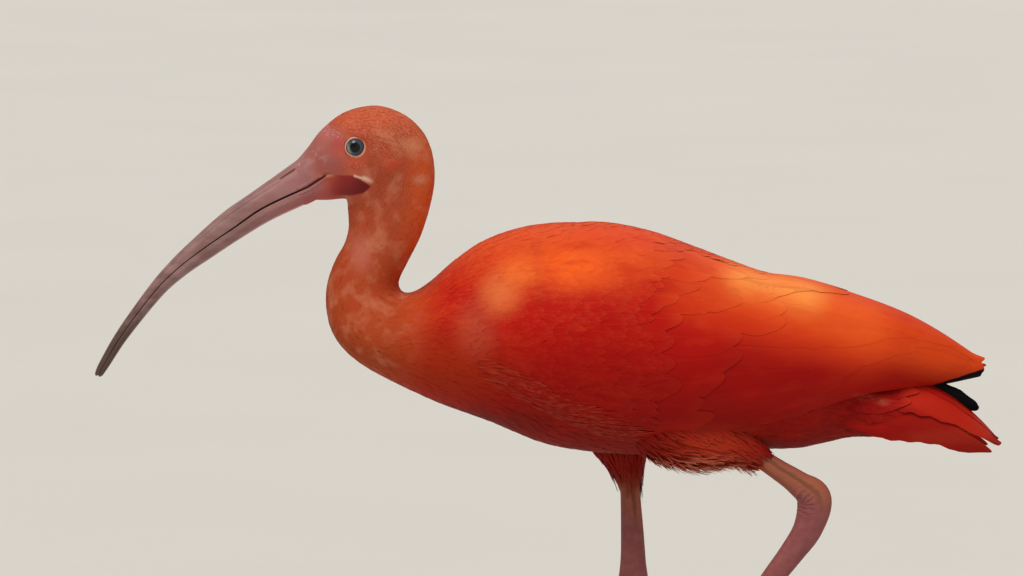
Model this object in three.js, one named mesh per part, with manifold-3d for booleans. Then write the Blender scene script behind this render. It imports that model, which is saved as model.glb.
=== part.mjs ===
// A scarlet ibis at life size, stepping forward with its head low: a still model in named pieces.
// Millimetres. +Z is up, the bill points to -X and the bird's left side faces -Y.
// The origin is on the floor, under the middle of the bird's length and width.
import * as THREE from "three";
import { mergeVertices } from "three/addons/utils/BufferGeometryUtils.js";
import Module from "manifold-3d";

const wasm = await Module();
wasm.setup();

const gap = 0.3; // clear space between pieces that touch
const degree = Math.PI / 180;
const left = -1;
const right = 1;

// Finishes of the real bird.
function finish(color, roughness) {
  return new THREE.MeshStandardMaterial({ color, roughness, metalness: 0 });
}
const scarlet = finish(0xd8300f, 0.75);
const salmon = finish(0xe2633c, 0.75);
const billHorn = finish(0xb98283, 0.45);
const legSkin = finish(0xc4605a, 0.55);
const clawHorn = finish(0x5a3a36, 0.4);
const eyeGloss = finish(0x2a3440, 0.1);

// Solids: closed three.js meshes turned into manifolds, joined, cut, and turned back.
function solid(geometry) {
  const bare = geometry.clone();
  bare.deleteAttribute("normal");
  bare.deleteAttribute("uv");
  const merged = mergeVertices(bare, 1e-4);
  const vertProperties = new Float32Array(merged.attributes.position.array);
  const triVerts = new Uint32Array(merged.index.array);
  const made = new wasm.Manifold(new wasm.Mesh({ numProp: 3, vertProperties, triVerts }));
  if (made.volume() > 0) return made;
  for (let i = 0; i < triVerts.length; i += 3) {
    [triVerts[i], triVerts[i + 1]] = [triVerts[i + 1], triVerts[i]];
  }
  return new wasm.Manifold(new wasm.Mesh({ numProp: 3, vertProperties, triVerts }));
}

function joined(solids) {
  return solids.reduce((sum, next) => sum.add(next));
}

function cutBy(body, cutters) {
  return cutters.reduce((rest, cutter) => rest.subtract(cutter), body);
}

function largest(body) {
  return body.decompose().reduce((most, next) => (next.volume() > most.volume() ? next : most));
}

const ibis = new THREE.Group();

function addNode(name, body, material) {
  const { numProp, vertProperties, triVerts } = largest(body).getMesh();
  const positions = new Float32Array((vertProperties.length / numProp) * 3);
  for (let i = 0; i * numProp < vertProperties.length; i++) {
    positions.set(vertProperties.subarray(i * numProp, i * numProp + 3), i * 3);
  }
  const geometry = new THREE.BufferGeometry()
    .setAttribute("position", new THREE.BufferAttribute(positions, 3))
    .setIndex(new THREE.BufferAttribute(new Uint32Array(triVerts), 1));
  geometry.computeVertexNormals();
  const mesh = new THREE.Mesh(geometry, material);
  mesh.name = name;
  ibis.add(mesh);
}

// A closed body through rings of points: a sphere bent so that its poles close the two ends.
function loft(rings) {
  const around = rings[0].length;
  const ball = new THREE.SphereGeometry(1, around, rings.length + 1);
  const place = ball.attributes.position;
  const middle = (ring) => ring.reduce((sum, p) => sum.add(p), new THREE.Vector3()).divideScalar(around);
  const poles = [middle(rings[0]), middle(rings[rings.length - 1])];
  for (let row = 0; row <= rings.length + 1; row++) {
    for (let column = 0; column <= around; column++) {
      let point = poles[row === 0 ? 0 : 1];
      if (row > 0 && row <= rings.length) point = rings[row - 1][column % around];
      place.setXYZ(row * (around + 1) + column, point.x, point.y, point.z);
    }
  }
  return ball;
}

// A smooth reading of a table of rows [place, value, value, ...], sorted by place.
function table(rows) {
  const slope = (i, k) => {
    const before = rows[Math.max(i - 1, 0)];
    const after = rows[Math.min(i + 1, rows.length - 1)];
    return (after[k] - before[k]) / (after[0] - before[0]);
  };
  return (place) => {
    const at = THREE.MathUtils.clamp(place, rows[0][0], rows[rows.length - 1][0]);
    const i = Math.max(0, Math.min(rows.length - 2, rows.findIndex((row) => row[0] >= at) - 1));
    const span = rows[i + 1][0] - rows[i][0];
    const t = (at - rows[i][0]) / span;
    return rows[i].slice(1).map((value, n) => {
      const k = n + 1;
      const rise = slope(i, k) * span * t * (1 - t) ** 2 - slope(i + 1, k) * span * t * t * (1 - t);
      return value * (1 + 2 * t) * (1 - t) ** 2 + rows[i + 1][k] * t * t * (3 - 2 * t) + rise;
    });
  };
}

// Head, neck and torso share one outline: flat slices from the base of the bill to the rump.
// Each slice is [upper x, upper z, lower x, lower z, half width, squareness of its oval].
const slices = [
  [-115.6, 296.8, -107.2, 277.9, 7.6, 2.2],
  [-110.9, 302.5, -101.0, 277.9, 9.4, 2.2],
  [-104.3, 311.0, -95.2, 278.4, 11.8, 2.2],
  [-93.5, 319.0, -93.2, 278.1, 14.2, 2.2],
  [-79.4, 322.0, -92.9, 277.4, 15.8, 2.1],
  [-67.2, 318.5, -92.6, 276.0, 16.4, 2.0],
  [-58.3, 311.2, -92.4, 274.1, 15.8, 2.0],
  [-53.3, 301.5, -92.1, 271.7, 14.6, 2.0],
  [-51.7, 288.3, -91.9, 268.4, 13.6, 2.0],
  [-53.8, 275.1, -92.1, 263.7, 13.2, 2.0],
  [-58.3, 260.9, -94.0, 257.1, 13.4, 2.0],
  [-64.4, 248.6, -98.2, 249.5, 14.4, 2.0],
  [-68.4, 240.1, -101.8, 239.6, 16.0, 2.0],
  [-67.7, 235.4, -102.7, 229.7, 18.0, 2.0],
  [-64.4, 233.7, -101.0, 218.8, 21.0, 2.0],
  [-59.2, 234.9, -95.9, 209.4, 25.0, 2.0],
  [-52.2, 240.1, -86.5, 200.9, 30.0, 2.0],
  [-42.3, 249.1, -71.9, 192.8, 36.0, 2.1],
  [-28.2, 258.5, -50.3, 182.9, 42.5, 2.2],
  [-9.4, 264.9, -25.8, 173.9, 47.0, 2.2],
  [11.8, 266.9, 0.0, 163.5, 49.5, 2.2],
  [31.5, 264.6, 25.8, 159.3, 50.0, 2.2],
  [51.7, 256.9, 50.3, 158.3, 48.5, 2.2],
  [72.8, 246.5, 75.2, 158.8, 45.0, 2.2],
  [94.0, 235.5, 98.7, 160.7, 39.0, 2.1],
  [117.5, 222.0, 119.8, 161.2, 29.0, 2.0],
  [137.7, 208.0, 141.5, 165.9, 17.0, 2.0],
];
const faceSlice = 0;
const napeSlice = 8;
const midNeckSlice = 12;
const shoulderSlice = 16;
const rumpSlice = 26;
const torsoGrid = [16, 28]; // steps along it, and points round it

const upperLine = new THREE.CatmullRomCurve3(slices.map(([x, z]) => new THREE.Vector3(x, 0, z)));
const lowerLine = new THREE.CatmullRomCurve3(slices.map(([, , x, z]) => new THREE.Vector3(x, 0, z)));
const girthLine = new THREE.CatmullRomCurve3(slices.map((slice) => new THREE.Vector3(slice[4], slice[5], 0)));

// A sine or cosine bent so that the round it draws has fuller corners.
function oval(value, squareness) {
  return Math.sign(value) * Math.abs(value) ** (2 / squareness);
}

// One ring of the body: grow swells it, and shift slides it along the body.
function bodyRing(station, around, grow = 0, shift = 0) {
  const t = station / (slices.length - 1);
  const upper = upperLine.getPoint(t);
  const lower = lowerLine.getPoint(t);
  const { x: halfWidth, y: squareness } = girthLine.getPoint(t);
  const middle = upper.clone().add(lower).multiplyScalar(0.5);
  const upward = upper.clone().sub(middle);
  const halfHeight = upward.length();
  upward.normalize();
  const across = new THREE.Vector3(0, 1, 0);
  const along = across.clone().cross(upward);
  return Array.from({ length: around }, (_, i) => {
    const angle = (2 * Math.PI * i) / around;
    return middle
      .clone()
      .addScaledVector(upward, (halfHeight + grow) * oval(Math.cos(angle), squareness))
      .addScaledVector(across, (halfWidth + grow) * oval(Math.sin(angle), squareness))
      .addScaledVector(along, shift);
  });
}

function bodyPart(from, to, steps, around, grow = 0) {
  return solid(
    loft(
      Array.from({ length: steps + 1 }, (_, i) => {
        const end = i === 0 ? gap / 2 : i === steps ? -gap / 2 : 0;
        return bodyRing(from + ((to - from) * i) / steps, around, grow, end);
      }),
    ),
  );
}

// Limbs: oval rings along a path of rows [x, y, z, half depth, half width], from one row to another.
// An inset holds an end back from its neighbour; swell makes the body larger all round, for a cutter.
function limb(path, { from = 0, to = path.length - 1, steps, around, swell = 0, insets = [0, 0] }) {
  const line = new THREE.CatmullRomCurve3(path.map(([x, y, z]) => new THREE.Vector3(x, y, z)));
  const size = new THREE.CatmullRomCurve3(path.map(([, , , deep, wide]) => new THREE.Vector3(deep, wide, 0)));
  const rings = Array.from({ length: steps + 1 }, (_, i) => {
    const t = (from + ((to - from) * i) / steps) / (path.length - 1);
    const tangent = line.getTangent(t);
    const side = new THREE.Vector3(0, 1, 0).addScaledVector(tangent, -tangent.y).normalize();
    const front = side.clone().cross(tangent);
    const { x: deep, y: wide } = size.getPoint(t);
    const centre = line.getPoint(t);
    if (i === 0) centre.addScaledVector(tangent, insets[0] - swell);
    if (i === steps) centre.addScaledVector(tangent, swell - insets[1]);
    return Array.from({ length: around }, (_, k) => {
      const angle = (2 * Math.PI * k) / around;
      return centre
        .clone()
        .addScaledVector(front, (deep + swell) * Math.cos(angle))
        .addScaledVector(side, (wide + swell) * Math.sin(angle));
    });
  });
  return solid(loft(rings));
}

// Eyes, and the lids round them.
const eyeRadius = 5.9;
const eyeCentre = { x: -88.8, y: 10.6, z: 304.4 };
const lidRing = { radius: 4.9, tube: 0.95, y: 14.7 };

function eyeball(side, grow = 0) {
  return solid(
    new THREE.SphereGeometry(eyeRadius + grow, 12, 8).translate(eyeCentre.x, side * eyeCentre.y, eyeCentre.z),
  );
}

function lids(side) {
  return solid(
    new THREE.TorusGeometry(lidRing.radius, lidRing.tube, 5, 14)
      .rotateX(90 * degree)
      .translate(eyeCentre.x, side * lidRing.y, eyeCentre.z),
  );
}

// The line of the mouth in the face: a thin slot from the base of the bill to the gape.
const mouthAtBill = { x: -112.6, z: 283.1 };
const gape = { x: -98.7, z: 289.7 };
const mouthSlot = 0.5;

function mouthLine() {
  const length = Math.hypot(gape.x - mouthAtBill.x, gape.z - mouthAtBill.z);
  const slope = Math.atan2(gape.z - mouthAtBill.z, gape.x - mouthAtBill.x);
  return solid(
    new THREE.BoxGeometry(length, 40, mouthSlot)
      .rotateY(-slope)
      .translate((gape.x + mouthAtBill.x) / 2, 0, (gape.z + mouthAtBill.z) / 2),
  );
}

// The bill, station by station: [culmen x, z, mouth x, z, chin x, z, half width].
const billStations = [
  [-115.6, 296.8, -110.9, 284.2, -107.2, 277.9, 7.4],
  [-136.5, 281.9, -131.6, 274.6, -127.4, 268.7, 6.2],
  [-150.4, 272.2, -145.5, 265.1, -142.2, 259.9, 5.3],
  [-164.0, 260.2, -159.9, 255.2, -155.7, 251.0, 4.6],
  [-175.3, 249.2, -172.0, 245.8, -168.3, 242.4, 4.1],
  [-185.6, 237.2, -182.9, 234.9, -179.5, 232.5, 3.7],
  [-200.3, 216.6, -198.1, 214.9, -195.5, 212.9, 3.3],
  [-209.3, 200.9, -207.0, 200.1, -204.6, 199.3, 3.2],
  [-211.5, 195.2, -209.8, 194.7, -208.2, 194.2, 2.3],
];
// Half outlines of the two mandibles: [share of the half width, share of the depth from the mouth].
const upperMandible = [
  [0.96, 0.0],
  [1.0, 0.3],
  [0.88, 0.52],
  [0.74, 0.58],
  [0.76, 0.68],
  [0.5, 0.9],
  [0, 1],
];
const lowerMandible = [
  [0.94, 0.0],
  [0.9, 0.4],
  [0.58, 0.86],
  [0, 1],
];

function mandible(column, profile, steps) {
  const read = table(billStations.map((row, i) => [i, ...row]));
  const rings = Array.from({ length: steps + 1 }, (_, i) => {
    const row = read(((billStations.length - 1) * i) / steps);
    const mouth = new THREE.Vector3(row[2], 0, row[3]);
    const edge = new THREE.Vector3(row[column], 0, row[column + 1]).sub(mouth);
    const depth = edge.length();
    edge.normalize();
    const tipward = new THREE.Vector3(0, 1, 0).cross(edge).multiplyScalar(column === 0 ? -1 : 1);
    const half = profile.map(([wide, deep]) => [wide * row[6], gap / 2 + deep * (depth - gap / 2)]);
    const other = half.slice(0, -1).reverse().map(([wide, deep]) => [-wide, deep]);
    return [...half, ...other].map(([wide, deep]) =>
      mouth
        .clone()
        .addScaledVector(edge, deep)
        .addScaledVector(tipward, i === 0 ? gap : 0)
        .setY(wide),
    );
  });
  return solid(loft(rings));
}

// A nostril: a narrow slit beside the culmen.
const nostril = { x: -121.5, z: 286.6, length: 12, height: 1.1, depth: 2.4, slope: -32, y: 6.2 };

function nostrilSlit(side) {
  return solid(
    new THREE.SphereGeometry(0.5, 10, 6)
      .scale(nostril.length, nostril.depth, nostril.height)
      .rotateY(nostril.slope * degree)
      .translate(nostril.x, side * nostril.y, nostril.z),
  );
}

// A curved sheet round the body's long axis: at each x an upright oval, read at an angle from its top.
// Rows are [x, top z, half height, half width, first angle, last angle], with the angles in degrees.
const wingSheet = table([
  [-37, 254, 41, 45.5, 84, 94],
  [-30.6, 257.6, 40.6, 48.5, 62, 108],
  [-16.5, 263.7, 46.5, 52.0, 45, 114],
  [0, 266.0, 51.3, 54.6, 33, 121],
  [25.9, 267.9, 54.1, 56.0, 20, 134],
  [49.4, 263.7, 52.5, 55.0, 11, 145],
  [68.2, 257.1, 49.1, 52.5, 7, 142],
  [87.0, 250.0, 45.1, 48.0, 5, 131],
  [103.4, 244.3, 41.4, 43.0, 4, 125],
  [122.7, 241.0, 36.0, 36.5, 3, 127],
  [148.5, 233.0, 26.7, 28.0, 3, 124],
  [169.2, 225.0, 19.4, 20.0, 3, 128],
  [185.7, 216.0, 13.0, 13.0, 3, 128],
  [204.0, 203.7, 4.0, 5.0, 3, 128],
]);

function sheetPoint(sheet, x, angle, out, side) {
  const [top, high, wide] = sheet(x);
  return new THREE.Vector3(
    x,
    side * (wide + out) * Math.sin(angle * degree),
    top - high + (high + out) * Math.cos(angle * degree),
  );
}

// A closed slab: one grid of points on each face, split into triangles alike, and a rim between them.
function slab(columns, rows, place) {
  const plane = new THREE.PlaneGeometry(1, 1, columns, rows);
  const { uv } = plane.attributes;
  const points = [1, -1].flatMap((face) =>
    Array.from({ length: uv.count }, (_, i) => place(uv.getX(i), uv.getY(i), face).toArray()).flat(),
  );
  const faces = [];
  for (let i = 0; i < plane.index.count; i += 3) {
    const [a, b, c] = plane.index.array.slice(i, i + 3);
    faces.push(a, b, c, a + uv.count, c + uv.count, b + uv.count);
  }
  const at = (column, row) => row * (columns + 1) + column;
  const rim = [];
  for (let c = 0; c < columns; c++) rim.push(at(c, 0));
  for (let r = 0; r < rows; r++) rim.push(at(columns, r));
  for (let c = columns; c > 0; c--) rim.push(at(c, rows));
  for (let r = rows; r > 0; r--) rim.push(at(0, r));
  rim.forEach((a, i) => {
    const b = rim[(i + 1) % rim.length];
    faces.push(a, b, a + uv.count, b, b + uv.count, a + uv.count);
  });
  return new THREE.BufferGeometry()
    .setAttribute("position", new THREE.BufferAttribute(new Float32Array(points), 3))
    .setIndex(faces);
}

// The flesh of a folded wing, which its feathers grow from.
const wingCore = { front: -37, back: 150, columns: 5, rows: 7, outer: -1.2, inner: -12, spread: 0 };

function wingCoreSolid(side, { outer, inner, spread } = wingCore) {
  const { front, back, columns, rows } = wingCore;
  return solid(
    slab(columns, rows, (u, v, face) => {
      const x = THREE.MathUtils.lerp(front, back, v);
      const [, , wide, first, last] = wingSheet(x);
      const turn = spread / wide / degree;
      const angle = THREE.MathUtils.lerp(first - turn, last + turn, u);
      const thick = Math.min(1, 0.25 + (x - front) / 30, 0.25 + (back - x) / 70);
      return sheetPoint(wingSheet, x, angle, face > 0 ? outer : outer + (inner - outer) * thick, side);
    }),
  );
}

// The room that a wing and its feathers take, for what must stay clear of them.
const wingRoom = { outer: 3.6, inner: -12.6, spread: 5 };

const pastEdge = 1.5; // degrees that the lowest vanes may pass their sheet's last angle

// A vane: a thin curved feather on a sheet. Its root is sunk, its tip lifts, and its lower edge
// lies over its neighbour's upper edge. Places are [x, share of the way down the sheet].
function vane(sheet, side, { from, to, half, lifts, tilt, thick, rows = 4, flare = 0.8 }) {
  return solid(
    slab(2, rows, (u, v, face) => {
      const across = 2 * u - 1;
      const girth = half * (0.55 + 1.25 * v - 0.95 * v * v) * (v > 0.99 ? 0.5 : 1);
      const x = THREE.MathUtils.lerp(from[0], to[0], v) - across ** 2 * girth * flare * v;
      const [, , wide, first, last] = sheet(x);
      const share = THREE.MathUtils.lerp(from[1], to[1], v);
      const turned = THREE.MathUtils.lerp(first, last, share) + (across * girth) / wide / degree;
      const angle = last > first ? Math.min(turned, last + pastEdge) : turned;
      const slope = THREE.MathUtils.lerp(tilt[0], tilt[1], v);
      const lift = THREE.MathUtils.lerp(lifts[0], lifts[1], v ** 0.7) + slope * across * girth;
      const depth = thick * (1 - 0.35 * v) * 0.5;
      return sheetPoint(sheet, x, angle, lift + face * depth, side);
    }),
  );
}

// A tier of vanes from its top feather to its lowest one.
function tier(sheet, side, seed, { count, from, to, half, ...shape }) {
  const mix = (pair, k) => pair[0].map((value, i) => THREE.MathUtils.lerp(value, pair[1][i], k));
  return Array.from({ length: count }, (_, i) => {
    const k = count === 1 ? 0 : i / (count - 1);
    const tip = mix(to, k);
    tip[0] += (draw(seed + 7 * i) - 0.5) * shape.unevenness;
    return vane(sheet, side, { ...shape, from: mix(from, k), to: tip, half: mix(half, k)[0] });
  });
}

// An even draw between 0 and 1 for a whole-number seed.
function draw(seed) {
  const value = Math.sin(seed * 12.9898 + 4.1414) * 43758.5453;
  return value - Math.floor(value);
}

const vaneThickness = 0.7;
const wingTiers = {
  primaries: {
    count: 4,
    from: [[120, 0.4], [112, 0.8]],
    to: [[205.5, 0.5], [190, 0.9]],
    half: [[5.4], [5.2]],
    lifts: [-3.4, -1.2],
    tilt: [0.1, 0.22],
    thick: vaneThickness,
    unevenness: 1.5,
    rows: 3,
    flare: 0.4,
  },
  secondaries: {
    count: 8,
    from: [[66, 0.08], [38, 0.95]],
    to: [[184, 0.14], [116, 0.98]],
    half: [[8.8], [8.4]],
    lifts: [-2.6, 0.4],
    tilt: [0.09, 0.2],
    thick: vaneThickness,
    unevenness: 4,
    flare: 0.7,
  },
  greaterCoverts: {
    count: 7,
    from: [[42, 0.31], [10, 0.96]],
    to: [[92, 0.32], [56, 0.98]],
    half: [[8.6], [7.8]],
    lifts: [-2.6, 1.3],
    tilt: [0.09, 0.13],
    thick: vaneThickness,
    unevenness: 3,
    rows: 3,
  },
  medianCoverts: {
    count: 6,
    from: [[14, 0.42], [-10, 0.9]],
    to: [[56, 0.43], [26, 0.96]],
    half: [[7.4], [7.0]],
    lifts: [-2.6, 1.7],
    tilt: [0.13, 0.16],
    thick: vaneThickness,
    unevenness: 2,
    rows: 3,
  },
  scapulars: {
    count: 4,
    from: [[26, 0.07], [-2, 0.38]],
    to: [[94, 0.08], [62, 0.33]],
    half: [[8.4], [8.2]],
    lifts: [-2.6, 0.9],
    tilt: [0.14, 0.17],
    thick: vaneThickness,
    unevenness: 3,
    rows: 3,
  },
};

function wingSolid(side, body) {
  const feathers = Object.values(wingTiers).flatMap((row, n) => tier(wingSheet, side, 100 * n + 3, row));
  return joined([wingCoreSolid(side), ...feathers])
    .trimByPlane([0, side, 0], gap / 2)
    .subtract(body);
}

// The tail: a solid root in line with the rump, under an arch of long feathers.
// Rows are [x, top z, half height, half width].
const tailRoot = [
  [152, 194.0, 13.7, 17.0],
  [166, 190.0, 11.0, 15.8],
  [180, 186.0, 8.3, 13.0],
  [191, 179.5, 5.0, 8.5],
];
const rootSquareness = 2.8;
// Rows are [x, top z, half height, half width, first angle, last angle].
const tailSheet = table([
  [128, 204.5, 31.5, 17.0, 0, 90],
  [136.3, 201.3, 28.4, 18.0, 0, 90],
  [157.5, 193.8, 24.6, 19.0, 0, 90],
  [180, 189.5, 20.8, 19.5, 0, 90],
  [197.4, 177.2, 14.2, 18.0, 0, 90],
  [212, 165.4, 6.6, 14.0, 0, 90],
]);
const ventSheet = table([
  [140, 208.0, 20.8, 17.0, 180, 110],
  [152, 194.0, 13.7, 17.0, 180, 110],
  [166, 190.0, 11.0, 15.8, 180, 110],
  [180, 186.0, 8.3, 13.0, 180, 110],
  [200, 178.0, 5.0, 9.0, 180, 110],
]);
const tailTiers = {
  rectrices: {
    count: 6,
    from: [[148, 0.1], [148, 0.9]],
    to: [[213, 0.14], [208, 0.9]],
    half: [[5.4], [5.0]],
    lifts: [-3.2, -0.3],
    tilt: [0.2, 0.28],
    thick: vaneThickness,
    unevenness: 1.5,
    rows: 3,
    flare: 0.5,
  },
  upperCoverts: {
    count: 2,
    from: [[143, 0.16], [143, 0.6]],
    to: [[178, 0.2], [174, 0.62]],
    half: [[8.0], [7.4]],
    lifts: [-3.2, 2.2],
    tilt: [0.1, 0.12],
    thick: vaneThickness,
    unevenness: 3,
    rows: 3,
  },
};
const ventTier = {
  count: 2,
  from: [[144, 0.2], [144, 0.8]],
  to: [[190, 0.2], [182, 0.8]],
  half: [[6.4], [6.4]],
  lifts: [-2.0, 1.0],
  tilt: [0.1, 0.12],
  thick: vaneThickness,
  unevenness: 3,
  rows: 3,
};

function tailSolid() {
  const around = 16;
  const root = tailRoot.map(([x, top, high, wide]) =>
    Array.from({ length: around }, (_, i) => {
      const angle = (2 * Math.PI * i) / around;
      const up = high * oval(Math.cos(angle), rootSquareness);
      return new THREE.Vector3(x, wide * oval(Math.sin(angle), rootSquareness), top - high + up);
    }),
  );
  const rump = bodyRing(rumpSlice, around, 0, gap / 2);
  const feathers = [left, right].flatMap((side) => [
    ...Object.values(tailTiers).flatMap((row, n) => tier(tailSheet, side, 500 + 100 * n, row)),
    ...tier(ventSheet, side, 900, ventTier),
  ]);
  return joined([solid(loft([rump, ...root])), ...feathers]);
}

// Legs. The feathered thighs leave the belly, and the bare legs plug into them.
// Rows are [x, y, z, half depth, half width]; each bare leg is divided at its ankle row.
const thighPaths = {
  left: [
    [44.0, -24.0, 196.0, 24.0, 12.0],
    [60.0, -25.0, 182.5, 26.0, 13.0],
    [76.0, -24.5, 172.0, 20.0, 11.0],
    [90.0, -23.5, 165.0, 10.5, 8.0],
    [99.5, -22.8, 159.2, 6.4, 5.8],
  ],
  right: [
    [33.0, 23.5, 178.0, 20.0, 13.0],
    [36.0, 23.0, 162.0, 15.5, 11.0],
    [38.6, 22.3, 149.0, 8.6, 7.6],
    [40.2, 22.0, 138.5, 5.7, 5.2],
  ],
};
const legPaths = {
  left: [
    [88.0, -23.3, 167.2, 4.6, 4.3],
    [97.8, -22.8, 160.6, 4.6, 4.3],
    [108.0, -22.5, 153.8, 4.9, 4.5],
    [118.0, -22.2, 147.0, 6.0, 5.2],
    [125.6, -22.0, 139.6, 8.2, 6.5],
    [122.9, -22.0, 126.0, 7.0, 5.6],
    [115.5, -22.0, 114.5, 5.9, 4.7],
    [106.5, -22.0, 102.5, 5.3, 4.1],
    [91.2, -22.0, 81.3, 4.6, 3.7],
    [80.6, -22.0, 66.5, 5.0, 4.4],
    [76.0, -22.0, 60.2, 5.5, 5.8],
    [73.4, -22.0, 57.0, 2.8, 3.6],
  ],
  right: [
    [39.8, 22.0, 150.0, 4.6, 4.1],
    [40.4, 22.0, 138.0, 4.7, 4.2],
    [41.4, 22.0, 119.6, 5.4, 4.6],
    [41.9, 22.0, 104.0, 6.1, 5.2],
    [41.6, 22.3, 91.3, 7.4, 6.6],
    [37.8, 22.5, 80.0, 5.9, 5.2],
    [31.8, 22.6, 66.5, 4.7, 4.2],
    [20.8, 22.8, 42.0, 4.4, 3.7],
    [9.2, 23.0, 16.5, 4.9, 4.4],
    [3.2, 23.0, 5.8, 5.4, 6.0],
    [0.2, 23.1, 3.4, 2.6, 3.6],
  ],
};
const ankleRow = 4;

// Shaggy feathers that hang from a thigh: flat tapered locks, set along its path.
const thighLocks = {
  left: { count: 7, from: 0.9, to: 3.5, reach: [0.88, 0, -0.42], length: 21, around: [150, 215] },
  right: { count: 5, from: 1.3, to: 2.7, reach: [0.12, 0, -1], length: 15, around: [-60, 240] },
};

function lockSolids(word, side) {
  const { count, from, to, reach, length, around } = thighLocks[word];
  const path = thighPaths[word];
  const line = new THREE.CatmullRomCurve3(path.map(([x, y, z]) => new THREE.Vector3(x, y, z)));
  const size = new THREE.CatmullRomCurve3(path.map(([, , , deep, wide]) => new THREE.Vector3(deep, wide, 0)));
  return Array.from({ length: count }, (_, i) => {
    const t = THREE.MathUtils.lerp(from, to, (i + 0.4 * draw(i + 31)) / count) / (path.length - 1);
    const angle = THREE.MathUtils.lerp(...around, draw(3 * i + 5)) * degree;
    const tangent = line.getTangent(t);
    const across = new THREE.Vector3(0, side, 0).addScaledVector(tangent, -side * tangent.y).normalize();
    const upward = new THREE.Vector3(0, 1, 0).cross(tangent).normalize();
    if (upward.z < 0) upward.negate();
    const { x: deep, y: wide } = size.getPoint(t);
    const outward = upward.multiplyScalar(Math.cos(angle) * deep).addScaledVector(across, Math.sin(angle) * wide);
    const lie = new THREE.Vector3(...reach).normalize().multiplyScalar(length * (0.85 + 0.3 * draw(i + 71)));
    const start = line.getPoint(t).addScaledVector(outward, 0.72);
    const middle = start.clone().addScaledVector(lie, 0.5).addScaledVector(outward, 0.2);
    const end = start.clone().add(lie).addScaledVector(outward, 0.16);
    return limb([[...start, 3.6, 1.6], [...middle, 3.2, 1.2], [...end, 0.8, 0.5]], { steps: 2, around: 5 });
  });
}

// Toes, each with its phalanges, the claw's length and its thickness at the root.
const toes = {
  middle: { bones: [19, 16, 12, 9], claw: 9, thick: 3.9 },
  inner: { bones: [17, 14, 11], claw: 8, thick: 3.6 },
  outer: { bones: [15, 13, 11, 9], claw: 8, thick: 3.6 },
  hind: { bones: [12, 10], claw: 8, thick: 3.2 },
};
// Where each foot's toes point: heading outward from straight ahead, the droop of the first bone
// and of each one after it.
const feet = {
  right: {
    root: [3.5, 23.0, 4.9],
    side: right,
    middle: { heading: 4, droops: [5, 1.3, 1.7, 2.2, 8, 20] },
    inner: { heading: -33, droops: [6.9, 1.8, 2.3, 8, 20] },
    outer: { heading: 30, droops: [7.4, 1.5, 1.7, 2.1, 8, 20] },
    hind: { heading: 190, droops: [12.4, 3.4, 8, 20] },
  },
  left: {
    root: [76.0, -22.0, 59.6],
    side: left,
    middle: { heading: 0, droops: [52, 70, 86, 95, 98, 98] },
    inner: { heading: -18, droops: [60, 76, 92, 100, 104] },
    outer: { heading: 17, droops: [57, 74, 90, 98, 102, 104] },
    hind: { heading: 188, droops: [40, 58, 74, 90] },
  },
};

// The joints of one toe, and two points on its claw, from the foot's root outward.
function toeLine(foot, name) {
  const { heading, droops } = foot[name];
  const { bones, claw } = toes[name];
  const ahead = new THREE.Vector3(-Math.cos(heading * degree), foot.side * Math.sin(heading * degree), 0);
  const points = [new THREE.Vector3(...foot.root)];
  [...bones, claw * 0.55, claw * 0.45].forEach((length, i) => {
    const step = ahead.clone().multiplyScalar(length * Math.cos(droops[i] * degree));
    step.z = -length * Math.sin(droops[i] * degree);
    points.push(points[i].clone().add(step));
  });
  return points;
}

function toeSolid(foot, name, swell = 0) {
  const { bones, thick } = toes[name];
  const path = toeLine(foot, name)
    .slice(0, bones.length + 1)
    .map((point, i) => {
      const size = thick * (1 - (0.36 * i) / bones.length);
      return [...point.toArray(), size, size];
    });
  return limb(path, { steps: Math.round(bones.length * 1.5), around: 8, swell });
}

function clawSolid(foot, name) {
  const { bones, thick } = toes[name];
  const points = toeLine(foot, name);
  const base = points[bones.length];
  const back = base.clone().lerp(points[bones.length - 1], 0.35);
  const path = [back, base, points[bones.length + 1], points[bones.length + 2]].map((point, i) => {
    const size = thick * [0.4, 0.46, 0.34, 0.14][i];
    return [...point.toArray(), size * 1.15, size];
  });
  return limb(path, { steps: 4, around: 6 });
}

function onFloor(body) {
  return body.trimByPlane([0, 0, 1], 0);
}

const sides = [
  [left, "left"],
  [right, "right"],
];

const head = cutBy(
  joined([bodyPart(faceSlice, napeSlice, 13, 22), lids(left), lids(right)]),
  [eyeball(left, gap), eyeball(right, gap), mouthLine()],
);
addNode("head", head, salmon);
addNode("eye_left", eyeball(left), eyeGloss);
addNode("eye_right", eyeball(right), eyeGloss);
addNode("bill_upper", cutBy(mandible(0, upperMandible, 15), [nostrilSlit(left), nostrilSlit(right)]), billHorn);
addNode("bill_lower", mandible(4, lowerMandible, 15), billHorn);
addNode("neck_upper", bodyPart(napeSlice, midNeckSlice, 6, 20), salmon);
addNode("neck_lower", bodyPart(midNeckSlice, shoulderSlice, 6, 24), salmon);
addNode("torso", bodyPart(shoulderSlice, rumpSlice, ...torsoGrid), scarlet);
addNode("tail", tailSolid(), scarlet);

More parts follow.
